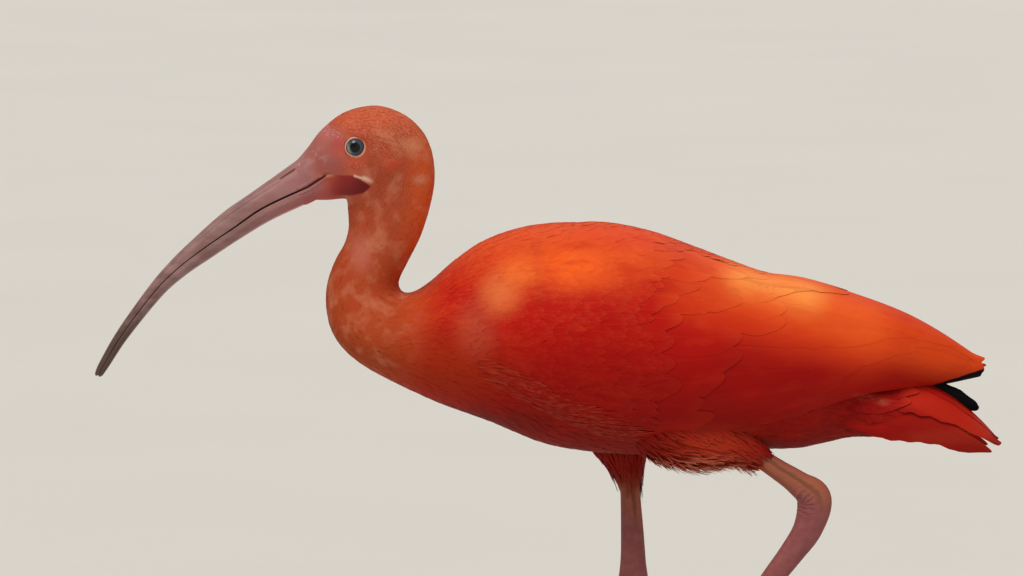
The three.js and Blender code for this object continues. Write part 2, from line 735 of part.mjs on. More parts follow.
const torsoRoom = bodyPart(shoulderSlice, rumpSlice, ...torsoGrid, gap);
for (const [side, word] of sides) {
  addNode(`wing_${word}`, wingSolid(side, torsoRoom), scarlet);
  const leg = { steps: 7, around: 12 };
  const legRoom = limb(legPaths[word], { ...leg, to: ankleRow, swell: gap });
  const thigh = joined([limb(thighPaths[word], { steps: 7, around: 16 }), ...lockSolids(word, side)]);
  addNode(`thigh_${word}`, cutBy(thigh, [torsoRoom, wingCoreSolid(side, wingRoom), legRoom]), scarlet);
  const shank = limb(legPaths[word], { ...leg, to: ankleRow, insets: [0, gap / 2] });
  addNode(`shank_${word}`, shank.subtract(torsoRoom), legSkin);
  const tarsus = { from: ankleRow, steps: 12, around: 12 };
  addNode(`tarsus_${word}`, onFloor(limb(legPaths[word], { ...tarsus, insets: [gap / 2, 0] })), legSkin);
  const tarsusRoom = limb(legPaths[word], { ...tarsus, swell: gap });
  const foot = feet[word];
  const rooms = [tarsusRoom];
  for (const name of Object.keys(toes)) {
    addNode(`toe_${word}_${name}`, onFloor(cutBy(toeSolid(foot, name), rooms)), legSkin);
    rooms.push(toeSolid(foot, name, gap));
    const claw = clawSolid(foot, name).subtract(toeSolid(foot, name, gap));
    addNode(`claw_${word}_${name}`, onFloor(claw), clawHorn);
  }
}

export default ibis;
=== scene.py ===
# A scarlet ibis at life size, stepping forward with its head low.
# The bill points to -X, the bird's left side faces -Y and the camera, and the floor is at z = 0.
# Lengths are written in millimetres, and newPiece turns them into metres.
import math
import bpy
import numpy as np
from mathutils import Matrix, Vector
from mathutils.bvhtree import BVHTree
from mathutils.kdtree import KDTree


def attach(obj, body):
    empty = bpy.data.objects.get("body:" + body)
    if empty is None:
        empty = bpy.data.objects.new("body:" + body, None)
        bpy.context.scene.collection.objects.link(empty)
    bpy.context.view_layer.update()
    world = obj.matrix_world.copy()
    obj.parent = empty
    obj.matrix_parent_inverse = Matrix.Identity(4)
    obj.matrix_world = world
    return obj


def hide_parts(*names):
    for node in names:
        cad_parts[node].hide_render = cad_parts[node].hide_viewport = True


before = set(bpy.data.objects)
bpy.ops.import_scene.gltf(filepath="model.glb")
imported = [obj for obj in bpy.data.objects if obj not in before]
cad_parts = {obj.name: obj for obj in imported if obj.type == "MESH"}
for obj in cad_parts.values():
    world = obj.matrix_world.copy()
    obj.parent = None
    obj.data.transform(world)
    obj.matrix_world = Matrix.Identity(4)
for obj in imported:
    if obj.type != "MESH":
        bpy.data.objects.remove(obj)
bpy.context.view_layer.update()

mm = 0.001
left = -1
right = 1
sideNames = {left: "left", right: "right"}
turn = 2 * math.pi


# Camera, lights and floor
view = {
    "aim": (-15.5, 0, 236.3),
    "elevation": 6,
    "distance": 3200,
    "imageWidth": 1024,
    "pixel": 0.46875,  # millimetres across one pixel at the bird's middle plane
    "sensor": 36,
    "clip": 50,  # metres
}


def setCamera():
    camera = bpy.data.cameras.new("camera")
    camera.sensor_width = view["sensor"]
    camera.lens = view["sensor"] * view["distance"] / (view["imageWidth"] * view["pixel"])
    camera.clip_end = view["clip"]
    rig = bpy.data.objects.new("camera", camera)
    bpy.context.scene.collection.objects.link(rig)
    lift = math.radians(view["elevation"])
    away = Vector((0, -math.cos(lift), math.sin(lift)))
    rig.location = (Vector(view["aim"]) + away * view["distance"]) * mm
    rig.rotation_euler = (-away).to_track_quat("-Z", "Y").to_euler()
    bpy.context.scene.camera = rig


lamps = {
    "key": {"from": (-0.32, -0.62, 1.0), "spread": 30, "power": 2.1, "colour": (1.0, 0.95, 0.87)},
    "fill": {"from": (0.8, -1.0, 0.4), "spread": 60, "power": 0.35, "colour": (0.93, 0.96, 1.0)},
    "rim": {"from": (0.3, 1.0, 1.0), "spread": 40, "power": 0.7, "colour": (1.0, 0.95, 0.88)},
}
surroundings = {"Color": (0.8, 0.81, 0.83, 1), "Strength": 0.42}


def setLights():
    for name, lamp in lamps.items():
        light = bpy.data.lights.new(name, "SUN")
        light.angle = math.radians(lamp["spread"])
        light.energy = lamp["power"]
        light.color = lamp["colour"]
        holder = bpy.data.objects.new(name, light)
        bpy.context.scene.collection.objects.link(holder)
        holder.rotation_euler = Vector(lamp["from"]).to_track_quat("Z", "Y").to_euler()
    world = bpy.data.worlds.new("studio")
    world.use_nodes = True
    for socket, value in surroundings.items():
        world.node_tree.nodes["Background"].inputs[socket].default_value = value
    bpy.context.scene.world = world
    bpy.context.scene.view_settings.view_transform = "Standard"


def mathsNode(operation, swapped=False):
    # An operator of a wrapped socket, with the socket as its last value when swapped
    def use(wire, *others):
        return wire.maths(operation, *((*others, wire) if swapped else (wire, *others)))

    return use


# Shader maths: a wrapped socket takes the usual operators, and each adds its Math node
class Wire:
    __add__ = mathsNode("ADD")
    __radd__ = mathsNode("ADD", swapped=True)
    __sub__ = mathsNode("SUBTRACT")
    __rsub__ = mathsNode("SUBTRACT", swapped=True)
    __mul__ = mathsNode("MULTIPLY")
    __rmul__ = mathsNode("MULTIPLY", swapped=True)
    __truediv__ = mathsNode("DIVIDE")
    __pow__ = mathsNode("POWER")
    size = mathsNode("ABSOLUTE")
    wave = mathsNode("SINE")
    root = mathsNode("SQRT")
    least = mathsNode("MINIMUM")
    most = mathsNode("MAXIMUM")

    def __init__(self, tree, socket):
        self.tree = tree
        self.socket = socket

    def maths(self, operation, *values):
        node = self.tree.nodes.new("ShaderNodeMath")
        node.operation = operation
        for slot, value in zip(node.inputs, values):
            if isinstance(value, Wire):
                self.tree.links.new(value.socket, slot)
            else:
                slot.default_value = value
        return Wire(self.tree, node.outputs[0])

    def ramp(self, start, end):
        # 0 before start and 1 after end, smoothly between them; end may be the smaller
        node = self.tree.nodes.new("ShaderNodeMapRange")
        node.interpolation_type = "SMOOTHSTEP"
        self.tree.links.new(self.socket, node.inputs["Value"])
        rising = start < end
        ends = {"From Min": min(start, end), "From Max": max(start, end)}
        for key, value in {**ends, "To Min": 1 - rising, "To Max": rising}.items():
            node.inputs[key].default_value = value
        return Wire(self.tree, node.outputs["Result"])


def linear(code):
    # A colour written as it looks on screen, such as d8300f, in the shader's own terms
    parts = [int(code[i : i + 2], 16) / 255 for i in (0, 2, 4)]
    return tuple(c / 12.92 if c <= 0.04045 else ((c + 0.055) / 1.055) ** 2.4 for c in parts) + (1.0,)


class Finish:
    # One material, with its coordinates in millimetres
    def __init__(self, name, **fixed):
        self.material = bpy.data.materials.new(name)
        self.material.use_nodes = True
        self.tree = self.material.node_tree
        self.shader = self.tree.nodes["Principled BSDF"]
        for socket, value in fixed.items():
            self.shader.inputs[socket.replace("_", " ")].default_value = value
        self.place = self.node("ShaderNodeTexCoord", {}, {}, "Object")
        self.x, self.y, self.z = (axis * (1 / mm) for axis in self.split(self.place))

    def node(self, kind, settings, values, output=0):
        node = self.tree.nodes.new(kind)
        for key, value in settings.items():
            setattr(node, key, value)
        for key, value in values.items():
            if isinstance(value, Wire):
                self.tree.links.new(value.socket, node.inputs[key])
            else:
                node.inputs[key].default_value = value
        return Wire(self.tree, node.outputs[output])

    def split(self, vector):
        node = self.tree.nodes.new("ShaderNodeSeparateXYZ")
        self.tree.links.new(vector.socket, node.inputs[0])
        return [Wire(self.tree, output) for output in node.outputs]

    def noise(self, size, detail=2.0, roughness=0.5, stretch=None):
        # Soft spots about so many millimetres across
        vector = self.place
        if stretch:
            vector = self.node("ShaderNodeMapping", {}, {"Vector": self.place, "Scale": stretch})
        values = {"Vector": vector, "Scale": 1 / (size * mm), "Detail": detail, "Roughness": roughness}
        return self.node("ShaderNodeTexNoise", {}, values, "Fac")

    def value(self, name):
        return self.node("ShaderNodeAttribute", {"attribute_name": name}, {}, "Fac")

    def blend(self, mask, under, over):
        under = linear(under) if isinstance(under, str) else under
        over = linear(over) if isinstance(over, str) else over
        settings = {"data_type": "RGBA", "clamp_factor": True}
        return self.node("ShaderNodeMix", settings, {0: mask, 6: under, 7: over}, 2)

    def near(self, x, z, reachX, reachZ, soft=1.0):
        # 1 at a place seen from the side, fading to 0 at an oval round it
        gone = (((self.x - x) / reachX) ** 2.0 + ((self.z - z) / reachZ) ** 2.0).root()
        return gone.ramp(1.0, 1.0 - soft)

    def line(self, start, end, width, soft):
        # 1 within a width of a line seen from the side, fading to 0 at a softer one
        dx, dz = end[0] - start[0], end[1] - start[1]
        share = ((self.x - start[0]) * dx + (self.z - start[1]) * dz) / (dx * dx + dz * dz)
        share = share.most(0.0).least(1.0)
        gone = ((self.x - start[0] - share * dx) ** 2.0 + (self.z - start[1] - share * dz) ** 2.0).root()
        return gone.ramp(soft, width)

    def set(self, socket, wire):
        self.tree.links.new(wire.socket, self.shader.inputs[socket])

    def bump(self, height, depth, strength=1.0):
        values = {"Height": height, "Distance": depth * mm, "Strength": strength}
        self.set("Normal", self.node("ShaderNodeBump", {}, values, "Normal"))


# Meshes
def newPiece(name, points, faceSets, slot, material, uvs=None, values=None, rim=None):
    # Faces come as arrays of triangles or quads; maps and values have one row for each point
    points = np.asarray(points, float)
    faceSets = [np.asarray(faces, int) for faces in faceSets if len(faces)]
    faceSets = outwards(points, faceSets)[1]
    corners = np.concatenate([faces.ravel() for faces in faceSets])
    sizes = np.concatenate([np.full(len(faces), faces.shape[1]) for faces in faceSets])
    mesh = bpy.data.meshes.new(name)
    mesh.vertices.add(len(points))
    mesh.vertices.foreach_set("co", (points * mm).astype(np.float32).ravel())
    mesh.loops.add(len(corners))
    mesh.loops.foreach_set("vertex_index", corners.astype(np.int32))
    mesh.polygons.add(len(sizes))
    mesh.polygons.foreach_set("loop_start", np.concatenate([[0], np.cumsum(sizes)[:-1]]).astype(np.int32))
    mesh.polygons.foreach_set("use_smooth", np.ones(len(sizes), bool))
    for key, rows in (uvs or {}).items():
        layer = mesh.uv_layers.new(name=key)
        layer.data.foreach_set("uv", np.asarray(rows, np.float32)[corners].ravel())
    addValues(mesh, values or {})
    mesh.update(calc_edges=True)
    if rim is not None:
        # An edge between two points of a rim is sharp, so that a thin blade is shaded flat
        ends = np.zeros(2 * len(mesh.edges), np.int32)
        mesh.edges.foreach_get("vertices", ends)
        sharp = np.asarray(rim, bool)[ends].reshape(-1, 2).all(1)
        mesh.attributes.new("sharp_edge", "BOOLEAN", "EDGE").data.foreach_set("value", sharp)
    mesh.validate()
    piece = bpy.data.objects.new(name, mesh)
    bpy.context.scene.collection.objects.link(piece)
    mesh.materials.append(material)
    if slot:
        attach(piece, "root")
    return piece


def addValues(mesh, values):
    for name, rows in values.items():
        mesh.attributes.new(name, "FLOAT", "POINT").data.foreach_set("value", np.asarray(rows, np.float32))


def volume(points, faceSets):
    total = 0.0
    for faces in faceSets:
        for k in range(1, faces.shape[1] - 1):
            a, b, c = points[faces[:, 0]], points[faces[:, k]], points[faces[:, k + 1]]
            total += np.einsum("ij,ij->i", a, np.cross(b, c)).sum()
    return total


def ringQuads(here, there, row, after):
    # Quads between the points here and there of one row and those of the row after it
    return np.stack([row + here, row + there, after + there, after + here], -1).reshape(-1, 4)


def closedLoft(rings):
    # Points and faces of a closed body through rings of points
    rings = np.asarray(rings, float)
    count, around = rings.shape[:2]
    points = np.concatenate([rings.reshape(-1, 3), [rings[0].mean(0)], [rings[-1].mean(0)]])
    row = np.arange(count - 1)[:, None] * around
    here = np.arange(around)[None, :]
    there = (here + 1) % around
    quads = ringQuads(here, there, row, row + around)
    last = (count - 1) * around
    first = np.stack([here[0], np.full(around, count * around), there[0]], -1)
    final = np.stack([last + there[0], np.full(around, count * around + 1), last + here[0]], -1)
    return outwards(points, [quads, np.concatenate([first, final])])


def outwards(points, faceSets):
    if volume(points, faceSets) < 0:
        faceSets = [faces[:, ::-1] for faces in faceSets]
    return points, faceSets


def pointTree(points):
    tree = KDTree(len(points))
    for i, point in enumerate(points):
        tree.insert(point, i)
    tree.balance()
    return tree


def smoothRead(rows, at):
    # A smooth curve through rows of numbers, read at whole or broken row numbers
    rows = np.asarray(rows, float)
    at = np.clip(np.asarray(at, float), 0, len(rows) - 1)
    i = np.minimum(at.astype(int), len(rows) - 2)
    t = (at - i)[..., None]
    before = rows[np.maximum(i - 1, 0)]
    here = rows[i]
    there = rows[i + 1]
    after = rows[np.minimum(i + 2, len(rows) - 1)]
    bend = 2 * before - 5 * here + 4 * there - after
    twist = 3 * (here - there) + after - before
    return here + 0.5 * t * (there - before + t * (bend + t * twist))


def tableRead(rows, place):
    # A smooth reading of a table sorted by its first column
    rows = np.asarray(rows, float)
    at = np.clip(place, rows[0, 0], rows[-1, 0])
    i = np.clip(np.searchsorted(rows[:, 0], at) - 1, 0, len(rows) - 2)
    number = np.arange(len(rows))
    after = rows[np.minimum(number + 1, len(rows) - 1)]
    before = rows[np.maximum(number - 1, 0)]
    slopes = (after - before) / (after[:, :1] - before[:, :1])
    span = (rows[i + 1, 0] - rows[i, 0])[..., None]
    t = (at[..., None] - rows[i][..., :1]) / span
    rise = slopes[i] * span * t * (1 - t) ** 2 - slopes[i + 1] * span * t * t * (1 - t)
    value = rows[i] * (1 + 2 * t) * (1 - t) ** 2 + rows[i + 1] * t * t * (3 - 2 * t) + rise
    return value[..., 1:]


def oval(value, squareness):
    return np.sign(value) * np.abs(value) ** (2 / squareness)


def unit(vectors):
    return vectors / np.maximum(np.linalg.norm(vectors, axis=-1, keepdims=True), 1e-9)


def onSurface(place, along, around, out):
    # Points that stand off a surface, with the lengths of one step along it and round it
    step = 0.01
    lengthwise = (place(along + step, around) - place(along - step, around)) / (2 * step)
    crosswise = (place(along, around + step) - place(along, around - step)) / (2 * step)
    normal = unit(np.cross(lengthwise, crosswise))
    point = place(along, around)
    outward = point - place(along, around + math.pi)
    normal *= np.sign((normal * outward).sum(-1, keepdims=True))
    steps = np.linalg.norm(lengthwise, axis=-1), np.linalg.norm(crosswise, axis=-1)
    return point + normal * out[..., None], steps


# The body's outline: flat slices from the base of the bill to the rump, and on through the tail's root.
# Each is [upper x, upper z, lower x, lower z, half width, squareness of its oval].
bodySlices = [
    [-115.6, 296.8, -107.2, 277.9, 7.6, 2.2],
    [-110.9, 302.5, -101.0, 277.9, 9.4, 2.2],
    [-104.3, 311.0, -95.2, 278.4, 11.8, 2.2],
    [-93.5, 319.0, -93.2, 278.1, 14.2, 2.2],
    [-79.4, 322.0, -92.9, 277.4, 15.8, 2.1],
    [-67.2, 318.5, -92.6, 276.0, 16.4, 2.0],
    [-58.3, 311.2, -92.4, 274.1, 15.8, 2.0],
    [-53.3, 301.5, -92.1, 271.7, 14.6, 2.0],
    [-51.7, 288.3, -91.9, 268.4, 13.6, 2.0],
    [-53.8, 275.1, -92.1, 263.7, 13.2, 2.0],
    [-58.3, 260.9, -94.0, 257.1, 13.4, 2.0],
    [-64.4, 248.6, -98.2, 249.5, 14.4, 2.0],
    [-68.4, 240.1, -101.8, 239.6, 16.0, 2.0],
    [-67.7, 235.4, -102.7, 229.7, 18.0, 2.0],
    [-64.4, 233.7, -101.0, 218.8, 21.0, 2.0],
    [-59.2, 234.9, -95.9, 209.4, 25.0, 2.0],
    [-52.2, 240.1, -86.5, 200.9, 30.0, 2.0],
    [-42.3, 249.1, -71.9, 192.8, 36.0, 2.1],
    [-28.2, 258.5, -50.3, 182.9, 42.5, 2.2],
    [-9.4, 264.9, -25.8, 173.9, 47.0, 2.2],
    [11.8, 266.9, 0.0, 163.5, 49.5, 2.2],
    [31.5, 264.6, 25.8, 159.3, 50.0, 2.2],
    [51.7, 256.9, 50.3, 158.3, 48.5, 2.2],
    [72.8, 246.5, 75.2, 158.8, 45.0, 2.2],
    [94.0, 235.5, 98.7, 160.7, 39.0, 2.1],
    [117.5, 222.0, 119.8, 161.2, 29.0, 2.0],
    [137.7, 208.0, 141.5, 165.9, 17.0, 2.0],
    [152.0, 194.0, 152.0, 166.6, 17.0, 2.8],
    [166.0, 190.0, 166.0, 168.0, 15.8, 2.8],
    [180.0, 186.0, 180.0, 169.4, 13.0, 2.8],
    [191.0, 179.5, 191.0, 169.5, 8.5, 2.8],
]
lastSlice = len(bodySlices) - 1
# How deep the skin lies under the tips of the coat: [slice, depth]
coatDepths = [
    [0, -0.1], [2, 0.0], [3.5, 0.12], [8, 0.15], [12, 0.26], [16, 0.5], [20, 0.9], [26, 0.9], [30, 0.6],
]


def bodyPlace(station, around):
    row = smoothRead(bodySlices, station)
    middle = (row[..., 0:2] + row[..., 2:4]) / 2
    rise = (row[..., 0:2] - middle) * oval(np.cos(around), row[..., 5])[..., None]
    wide = row[..., 4] * oval(np.sin(around), row[..., 5])
    return np.stack([middle[..., 0] + rise[..., 0], wide, middle[..., 1] + rise[..., 1]], -1)


# A folded wing lies on an upright oval at each x, between two angles from its top.
# Rows are [x, top z, half height, half width, first angle, last angle].
wingRows = [
    [-37, 254, 41, 41.6, 80, 98],
    [-30.6, 257.6, 40.6, 45.6, 62, 108],
    [-16.5, 263.7, 46.5, 50.8, 45, 114],
    [0, 266.0, 51.3, 54.6, 33, 121],
    [25.9, 267.9, 54.1, 56.0, 20, 134],
    [49.4, 263.7, 52.5, 55.0, 11, 145],
    [68.2, 257.1, 49.1, 52.5, 7, 142],
    [87.0, 250.0, 45.1, 48.0, 5, 131],
    [103.4, 244.3, 41.4, 43.0, 4, 125],
    [122.7, 241.0, 36.0, 36.5, 3, 127],
    [148.5, 233.0, 26.7, 28.0, 3, 124],
    [169.2, 225.0, 19.4, 20.0, 3, 128],
    [185.7, 216.0, 13.0, 13.0, 3, 138],
    [204.0, 203.7, 4.8, 5.0, 3, 170],
]
tailRows = [
    [128, 204.5, 31.5, 17.0, 0, 90],
    [136.3, 201.3, 28.4, 18.0, 0, 90],
    [157.5, 196.8, 27.6, 19.0, 0, 90],
    [172, 195.8, 26.8, 19.3, 0, 90],
    [180, 193.4, 24.7, 19.3, 0, 90],
    [190, 187.4, 21.6, 18.6, 0, 90],
    [197.4, 181.2, 18.2, 17.6, 0, 90],
    [204.7, 174.2, 12.8, 15.8, 0, 90],
    [212, 166.2, 7.4, 13.6, 0, 90],
]
ventRows = [
    [140, 208.0, 20.8, 17.0, 180, 110],
    [152, 194.0, 13.7, 17.0, 180, 110],
    [166, 190.0, 11.0, 15.8, 180, 110],
    [180, 186.0, 8.3, 13.0, 180, 110],
    [200, 178.0, 5.0, 9.0, 180, 110],
]


def sheetPlace(rows, side):
    def place(x, around):
        shape = tableRead(rows, x)
        top, high, wide = shape[..., 0], shape[..., 1], shape[..., 2]
        return np.stack([x, side * wide * np.sin(around), top - high + high * np.cos(around)], -1)

    return place


# Legs: rows are [x, y, z, half depth, half width]
thighPaths = {
    left: [
        [44.0, -24.0, 196.0, 24.0, 12.0],
        [60.0, -25.0, 182.5, 26.0, 13.0],
        [76.0, -24.5, 172.0, 20.0, 11.0],
        [90.0, -23.5, 165.0, 10.5, 8.0],
        [99.5, -22.8, 159.2, 6.4, 5.8],
    ],
    right: [
        [33.0, 23.5, 178.0, 20.0, 13.0],
        [36.0, 23.0, 162.0, 15.5, 11.0],
        [38.6, 22.3, 149.0, 8.6, 7.6],
        [40.2, 22.0, 138.5, 5.7, 5.2],
    ],
}
legPaths = {
    left: [
        [88.0, -23.3, 167.2, 4.6, 4.3],
        [97.8, -22.8, 160.6, 4.6, 4.3],
        [108.0, -22.5, 153.8, 4.9, 4.5],
        [118.0, -22.2, 147.0, 6.0, 5.2],
        [125.6, -22.0, 139.6, 8.2, 6.5],
        [122.9, -22.0, 126.0, 7.0, 5.6],
        [115.5, -22.0, 114.5, 5.9, 4.7],
        [106.5, -22.0, 102.5, 5.3, 4.1],
        [91.2, -22.0, 81.3, 4.6, 3.7],
        [80.6, -22.0, 66.5, 5.0, 4.4],
        [76.0, -22.0, 60.2, 5.5, 5.8],
        [73.4, -22.0, 57.0, 2.8, 3.6],
    ],
    right: [
        [39.8, 22.0, 150.0, 4.6, 4.1],
        [40.4, 22.0, 138.0, 4.7, 4.2],
        [41.4, 22.0, 119.6, 5.4, 4.6],
        [41.9, 22.0, 104.0, 6.1, 5.2],
        [41.6, 22.3, 91.3, 7.4, 6.6],
        [37.8, 22.5, 80.0, 5.9, 5.2],
        [31.8, 22.6, 66.5, 4.7, 4.2],
        [20.8, 22.8, 42.0, 4.4, 3.7],
        [9.2, 23.0, 16.5, 4.9, 4.4],
        [3.2, 23.0, 5.8, 5.4, 6.0],
        [0.2, 23.1, 3.4, 2.6, 3.6],
    ],
}
# Toes: the lengths of their bones and claw, and their half thickness at the root
toes = {
    "middle": {"bones": [19, 16, 12, 9], "claw": 9, "thick": 3.9},
    "inner": {"bones": [17, 14, 11], "claw": 8, "thick": 3.6},
    "outer": {"bones": [15, 13, 11, 9], "claw": 8, "thick": 3.6},
    "hind": {"bones": [12, 10], "claw": 8, "thick": 3.2},
}
clawHalves = (0.55, 0.45)  # a claw bends once, between these shares of its length
# Each toe's heading outward from straight ahead, and the droop of each bone and of the claw's two halves
feet = {
    right: {
        "root": (3.5, 23.0, 4.9),
        "middle": (4, [5, 1.3, 1.7, 2.2, 8, 20]),
        "inner": (-33, [6.9, 1.8, 2.3, 8, 20]),
        "outer": (30, [7.4, 1.5, 1.7, 2.1, 8, 20]),
        "hind": (190, [12.4, 3.4, 8, 20]),
    },
    left: {
        "root": (76.0, -22.0, 59.6),
        "middle": (0, [52, 70, 86, 95, 98, 98]),
        "inner": (-18, [60, 76, 92, 100, 104]),
        "outer": (17, [57, 74, 90, 98, 102, 104]),
        "hind": (188, [40, 58, 74, 90]),
    },
}


def toeLine(side, name):
    heading, droops = feet[side][name]
    bones, claw = toes[name]["bones"], toes[name]["claw"]
    heading = math.radians(heading)
    points = [np.array(feet[side]["root"], float)]
    lengths = [*bones, *(claw * half for half in clawHalves)]
    for length, droop in zip(lengths, np.radians(droops)):
        flat = length * math.cos(droop)
        step = [-flat * math.cos(heading), side * flat * math.sin(heading), -length * math.sin(droop)]
        points.append(points[-1] + step)
    return points


def limbPlace(path):
    # The surface of a limb, read by its row number and an angle from its front
    line = np.array(path, float)

    def place(at, around):
        row = smoothRead(line, at)
        step = 0.02
        tangent = unit(smoothRead(line[:, :3], at + step) - smoothRead(line[:, :3], at - step))
        side = np.zeros_like(tangent)
        side[..., 1] = 1
        side = unit(side - tangent * tangent[..., 1:2])
        front = np.cross(side, tangent)
        deep = row[..., 3:4] * np.cos(around)[..., None]
        wide = row[..., 4:5] * np.sin(around)[..., None]
        return row[..., :3] + front * deep + side * wide

    return place


def wholeLimb(path, rings, around, under=0.0):
    path = np.array(path, float)
    path[:, 3:] -= under
    rows = np.linspace(0, len(path) - 1, rings)
    at, angle = np.meshgrid(rows, np.arange(around) * turn / around, indexing="ij")
    return closedLoft(limbPlace(path)(at, angle))


# The edge of the naked face, from the chin up to the forehead: [z, x], naked in front of it
faceEdge = [
    [276.0, -92.0], [279.0, -86.0], [282.8, -79.4], [286.0, -78.6], [289.2, -79.2], [293.0, -82.4],
    [297.3, -83.4], [301.0, -82.6], [305.5, -83.4], [308.4, -88.0], [309.6, -94.0], [312.5, -100.5],
    [318.0, -106.0],
]


def faceEdgeAt(z):
    # Nothing is naked below the chin
    table = np.array(faceEdge)
    farForward = -1000.0
    return np.where(z < table[0, 0], farForward, np.interp(z, table[:, 0], table[:, 1]))


# One skin for the body, the wings' flesh, the legs and the feet
skin = {
    "rings": [(0, 5.5, 130), (5.5, 16, 64), (16, 30, 70)],  # stretches of slices, and the rings in each
    "around": 156,
    "sideways": 0.4,  # how much closer the points stand on the sides than on top
    "voxel": 0.7,
    "smoothing": {"factor": 0.5, "iterations": 6},
    "leg": {"rings": 90, "around": 28},
    "toe": {"rings": 40, "around": 20, "taper": 0.36},
    "thigh": {"rings": 40, "around": 48, "under": 0.8},  # how deep it lies under its coat
    "bareEdge": 1.6,  # how wide the change from the coat's colours to the naked face's is
    "legsBelow": 168,  # only points lower than this belong to a leg
    "samples": 160,  # points along the middle line of each leg and toe
}
wingSkin = {"ends": (-36, 124), "rings": 80, "rows": 46, "top": 0.02, "under": 1.5, "thick": 10.5,
            "frontEdge": 0.25, "frontTaper": 30, "rearEdge": 0.15, "rearTaper": 50}


def looseObject(name, parts):
    # One object, with several closed parts side by side in its mesh
    points, faceSets, base = [], [], 0
    for partPoints, partFaces in parts:
        faceSets += [faces + base for faces in partFaces]
        points.append(partPoints)
        base += len(partPoints)
    return newPiece(name, np.concatenate(points), faceSets, None, None)


def useModifier(piece, kind, **settings):
    for other in bpy.context.selected_objects:
        other.select_set(False)
    piece.select_set(True)
    bpy.context.view_layer.objects.active = piece
    modifier = piece.modifiers.new(kind.lower(), kind)
    for key, value in settings.items():
        setattr(modifier, key, value)
    bpy.ops.object.modifier_apply(modifier=modifier.name)


def bodyFlesh():
    stretches = [np.linspace(*stretch, endpoint=stretch[1] == lastSlice) for stretch in skin["rings"]]
    stations = np.concatenate(stretches)
    angles = np.arange(skin["around"]) * turn / skin["around"]
    angles = angles + skin["sideways"] / 2 * np.sin(2 * angles)
    at, around = np.meshgrid(stations, angles, indexing="ij")
    depth = tableRead(coatDepths, at)[..., 0]
    points = onSurface(bodyPlace, at, around, -depth)[0]
    return closedLoft(shapeFace(np.concatenate([billCuff(points[0]), points])))


# Skin that runs on over the root of the bill: how far forward each ring is, and its share of the first one
cuff = {
    "forward": [-0.81, 0, -0.58],
    "rings": [(6.0, 0.88), (5.0, 0.925), (3.4, 0.955), (1.7, 0.98), (0.8, 0.992)],
}


def billCuff(ring):
    # It gets thinner and thinner, and then sinks into the bill
    middle = ring.mean(0)
    forward = np.array(cuff["forward"])
    return np.array([middle + (ring - middle) * size + forward * reach for reach, size in cuff["rings"]])


# Eyes: the opening is the radius of the bare ball, and the rim half the width of the lids' edge
eye = {
    "radius": 5.9, "centre": (-88.5, 10.6, 303.8), "bulge": 0.3, "cornea": 0.7, "rings": 40, "around": 48,
    "socket": {"radius": 4.45, "edge": 0.4, "floor": 8.0},
    "opening": 3.95, "rim": 0.38, "corner": 0.25, "tilt": math.radians(200), "lidOut": 13.9,
    "lidFlat": 1.7, "lidHeight": 1.3, "lidSlope": 0.3, "lidRings": 96, "lidAround": 14,
}
# The line of the mouth, from inside the bill's root back to the gape
mouth = {"line": [(-120.0, 279.8), (-110.9, 284.4), (-106.0, 287.7), (-102.2, 290.3), (-98.0, 290.5)],
         "depth": 1.3, "width": 0.6, "lip": 0.35, "lipOff": 1.3, "lipWidth": 0.6, "end": -97.0, "fade": 8}
# Low forms of the face, seen from the side: [x, z, reach along x, reach along z, height]
faceForms = {
    "brow": [-89.5, 310.8, 9, 2.8, 0.7],
    "hollow": [-98.0, 302.8, 5, 4, -0.9],
    "pouch": [-88.5, 295.8, 6, 2.4, 0.5],
    "ear": [-72.0, 294.0, 6, 6, 0.5],
}


def fall(distance, reach):
    return np.exp(-((distance / reach) ** 2))


def offLine(x, z, line):
    # How far points seen from the side are from a line through corners
    nearest = np.full(np.shape(x), 1e9)
    for (ax, az), (bx, bz) in zip(line, line[1:]):
        dx, dz = bx - ax, bz - az
        share = np.clip(((x - ax) * dx + (z - az) * dz) / (dx * dx + dz * dz), 0, 1)
        nearest = np.minimum(nearest, np.hypot(x - ax - share * dx, z - az - share * dz))
    return nearest


def shapeFace(points):
    # The low forms, the eye sockets and the line of the mouth with its lips, on the sides of the head only
    x, y, z = points[..., 0], points[..., 1], points[..., 2]
    side = np.sign(y)
    wide = np.abs(y)
    middle = 3  # the forms begin this far from the head's middle and are full twice as far out
    flank = np.clip((wide - middle) / middle, 0, 1)
    for formX, formZ, reachX, reachZ, height in faceForms.values():
        wide = wide + height * fall(np.hypot((x - formX) / reachX, (z - formZ) / reachZ), 1) * flank
    socket = eye["socket"]
    gone = np.hypot(x - eye["centre"][0], z - eye["centre"][2])
    sunk = np.clip((socket["radius"] - gone) / socket["edge"], 0, 1) * flank
    wide = wide * (1 - sunk) + socket["floor"] * sunk
    off = offLine(x, z, mouth["line"])
    slit = -mouth["depth"] * fall(off, mouth["width"])
    slit = slit + mouth["lip"] * fall(off - mouth["lipOff"], mouth["lipWidth"])
    wide = wide + slit * flank * np.clip((mouth["end"] - x) / mouth["fade"], 0, 1)
    return np.stack([x, side * wide, z], -1)


def facePlace(station, around):
    return shapeFace(bodyPlace(station, around))


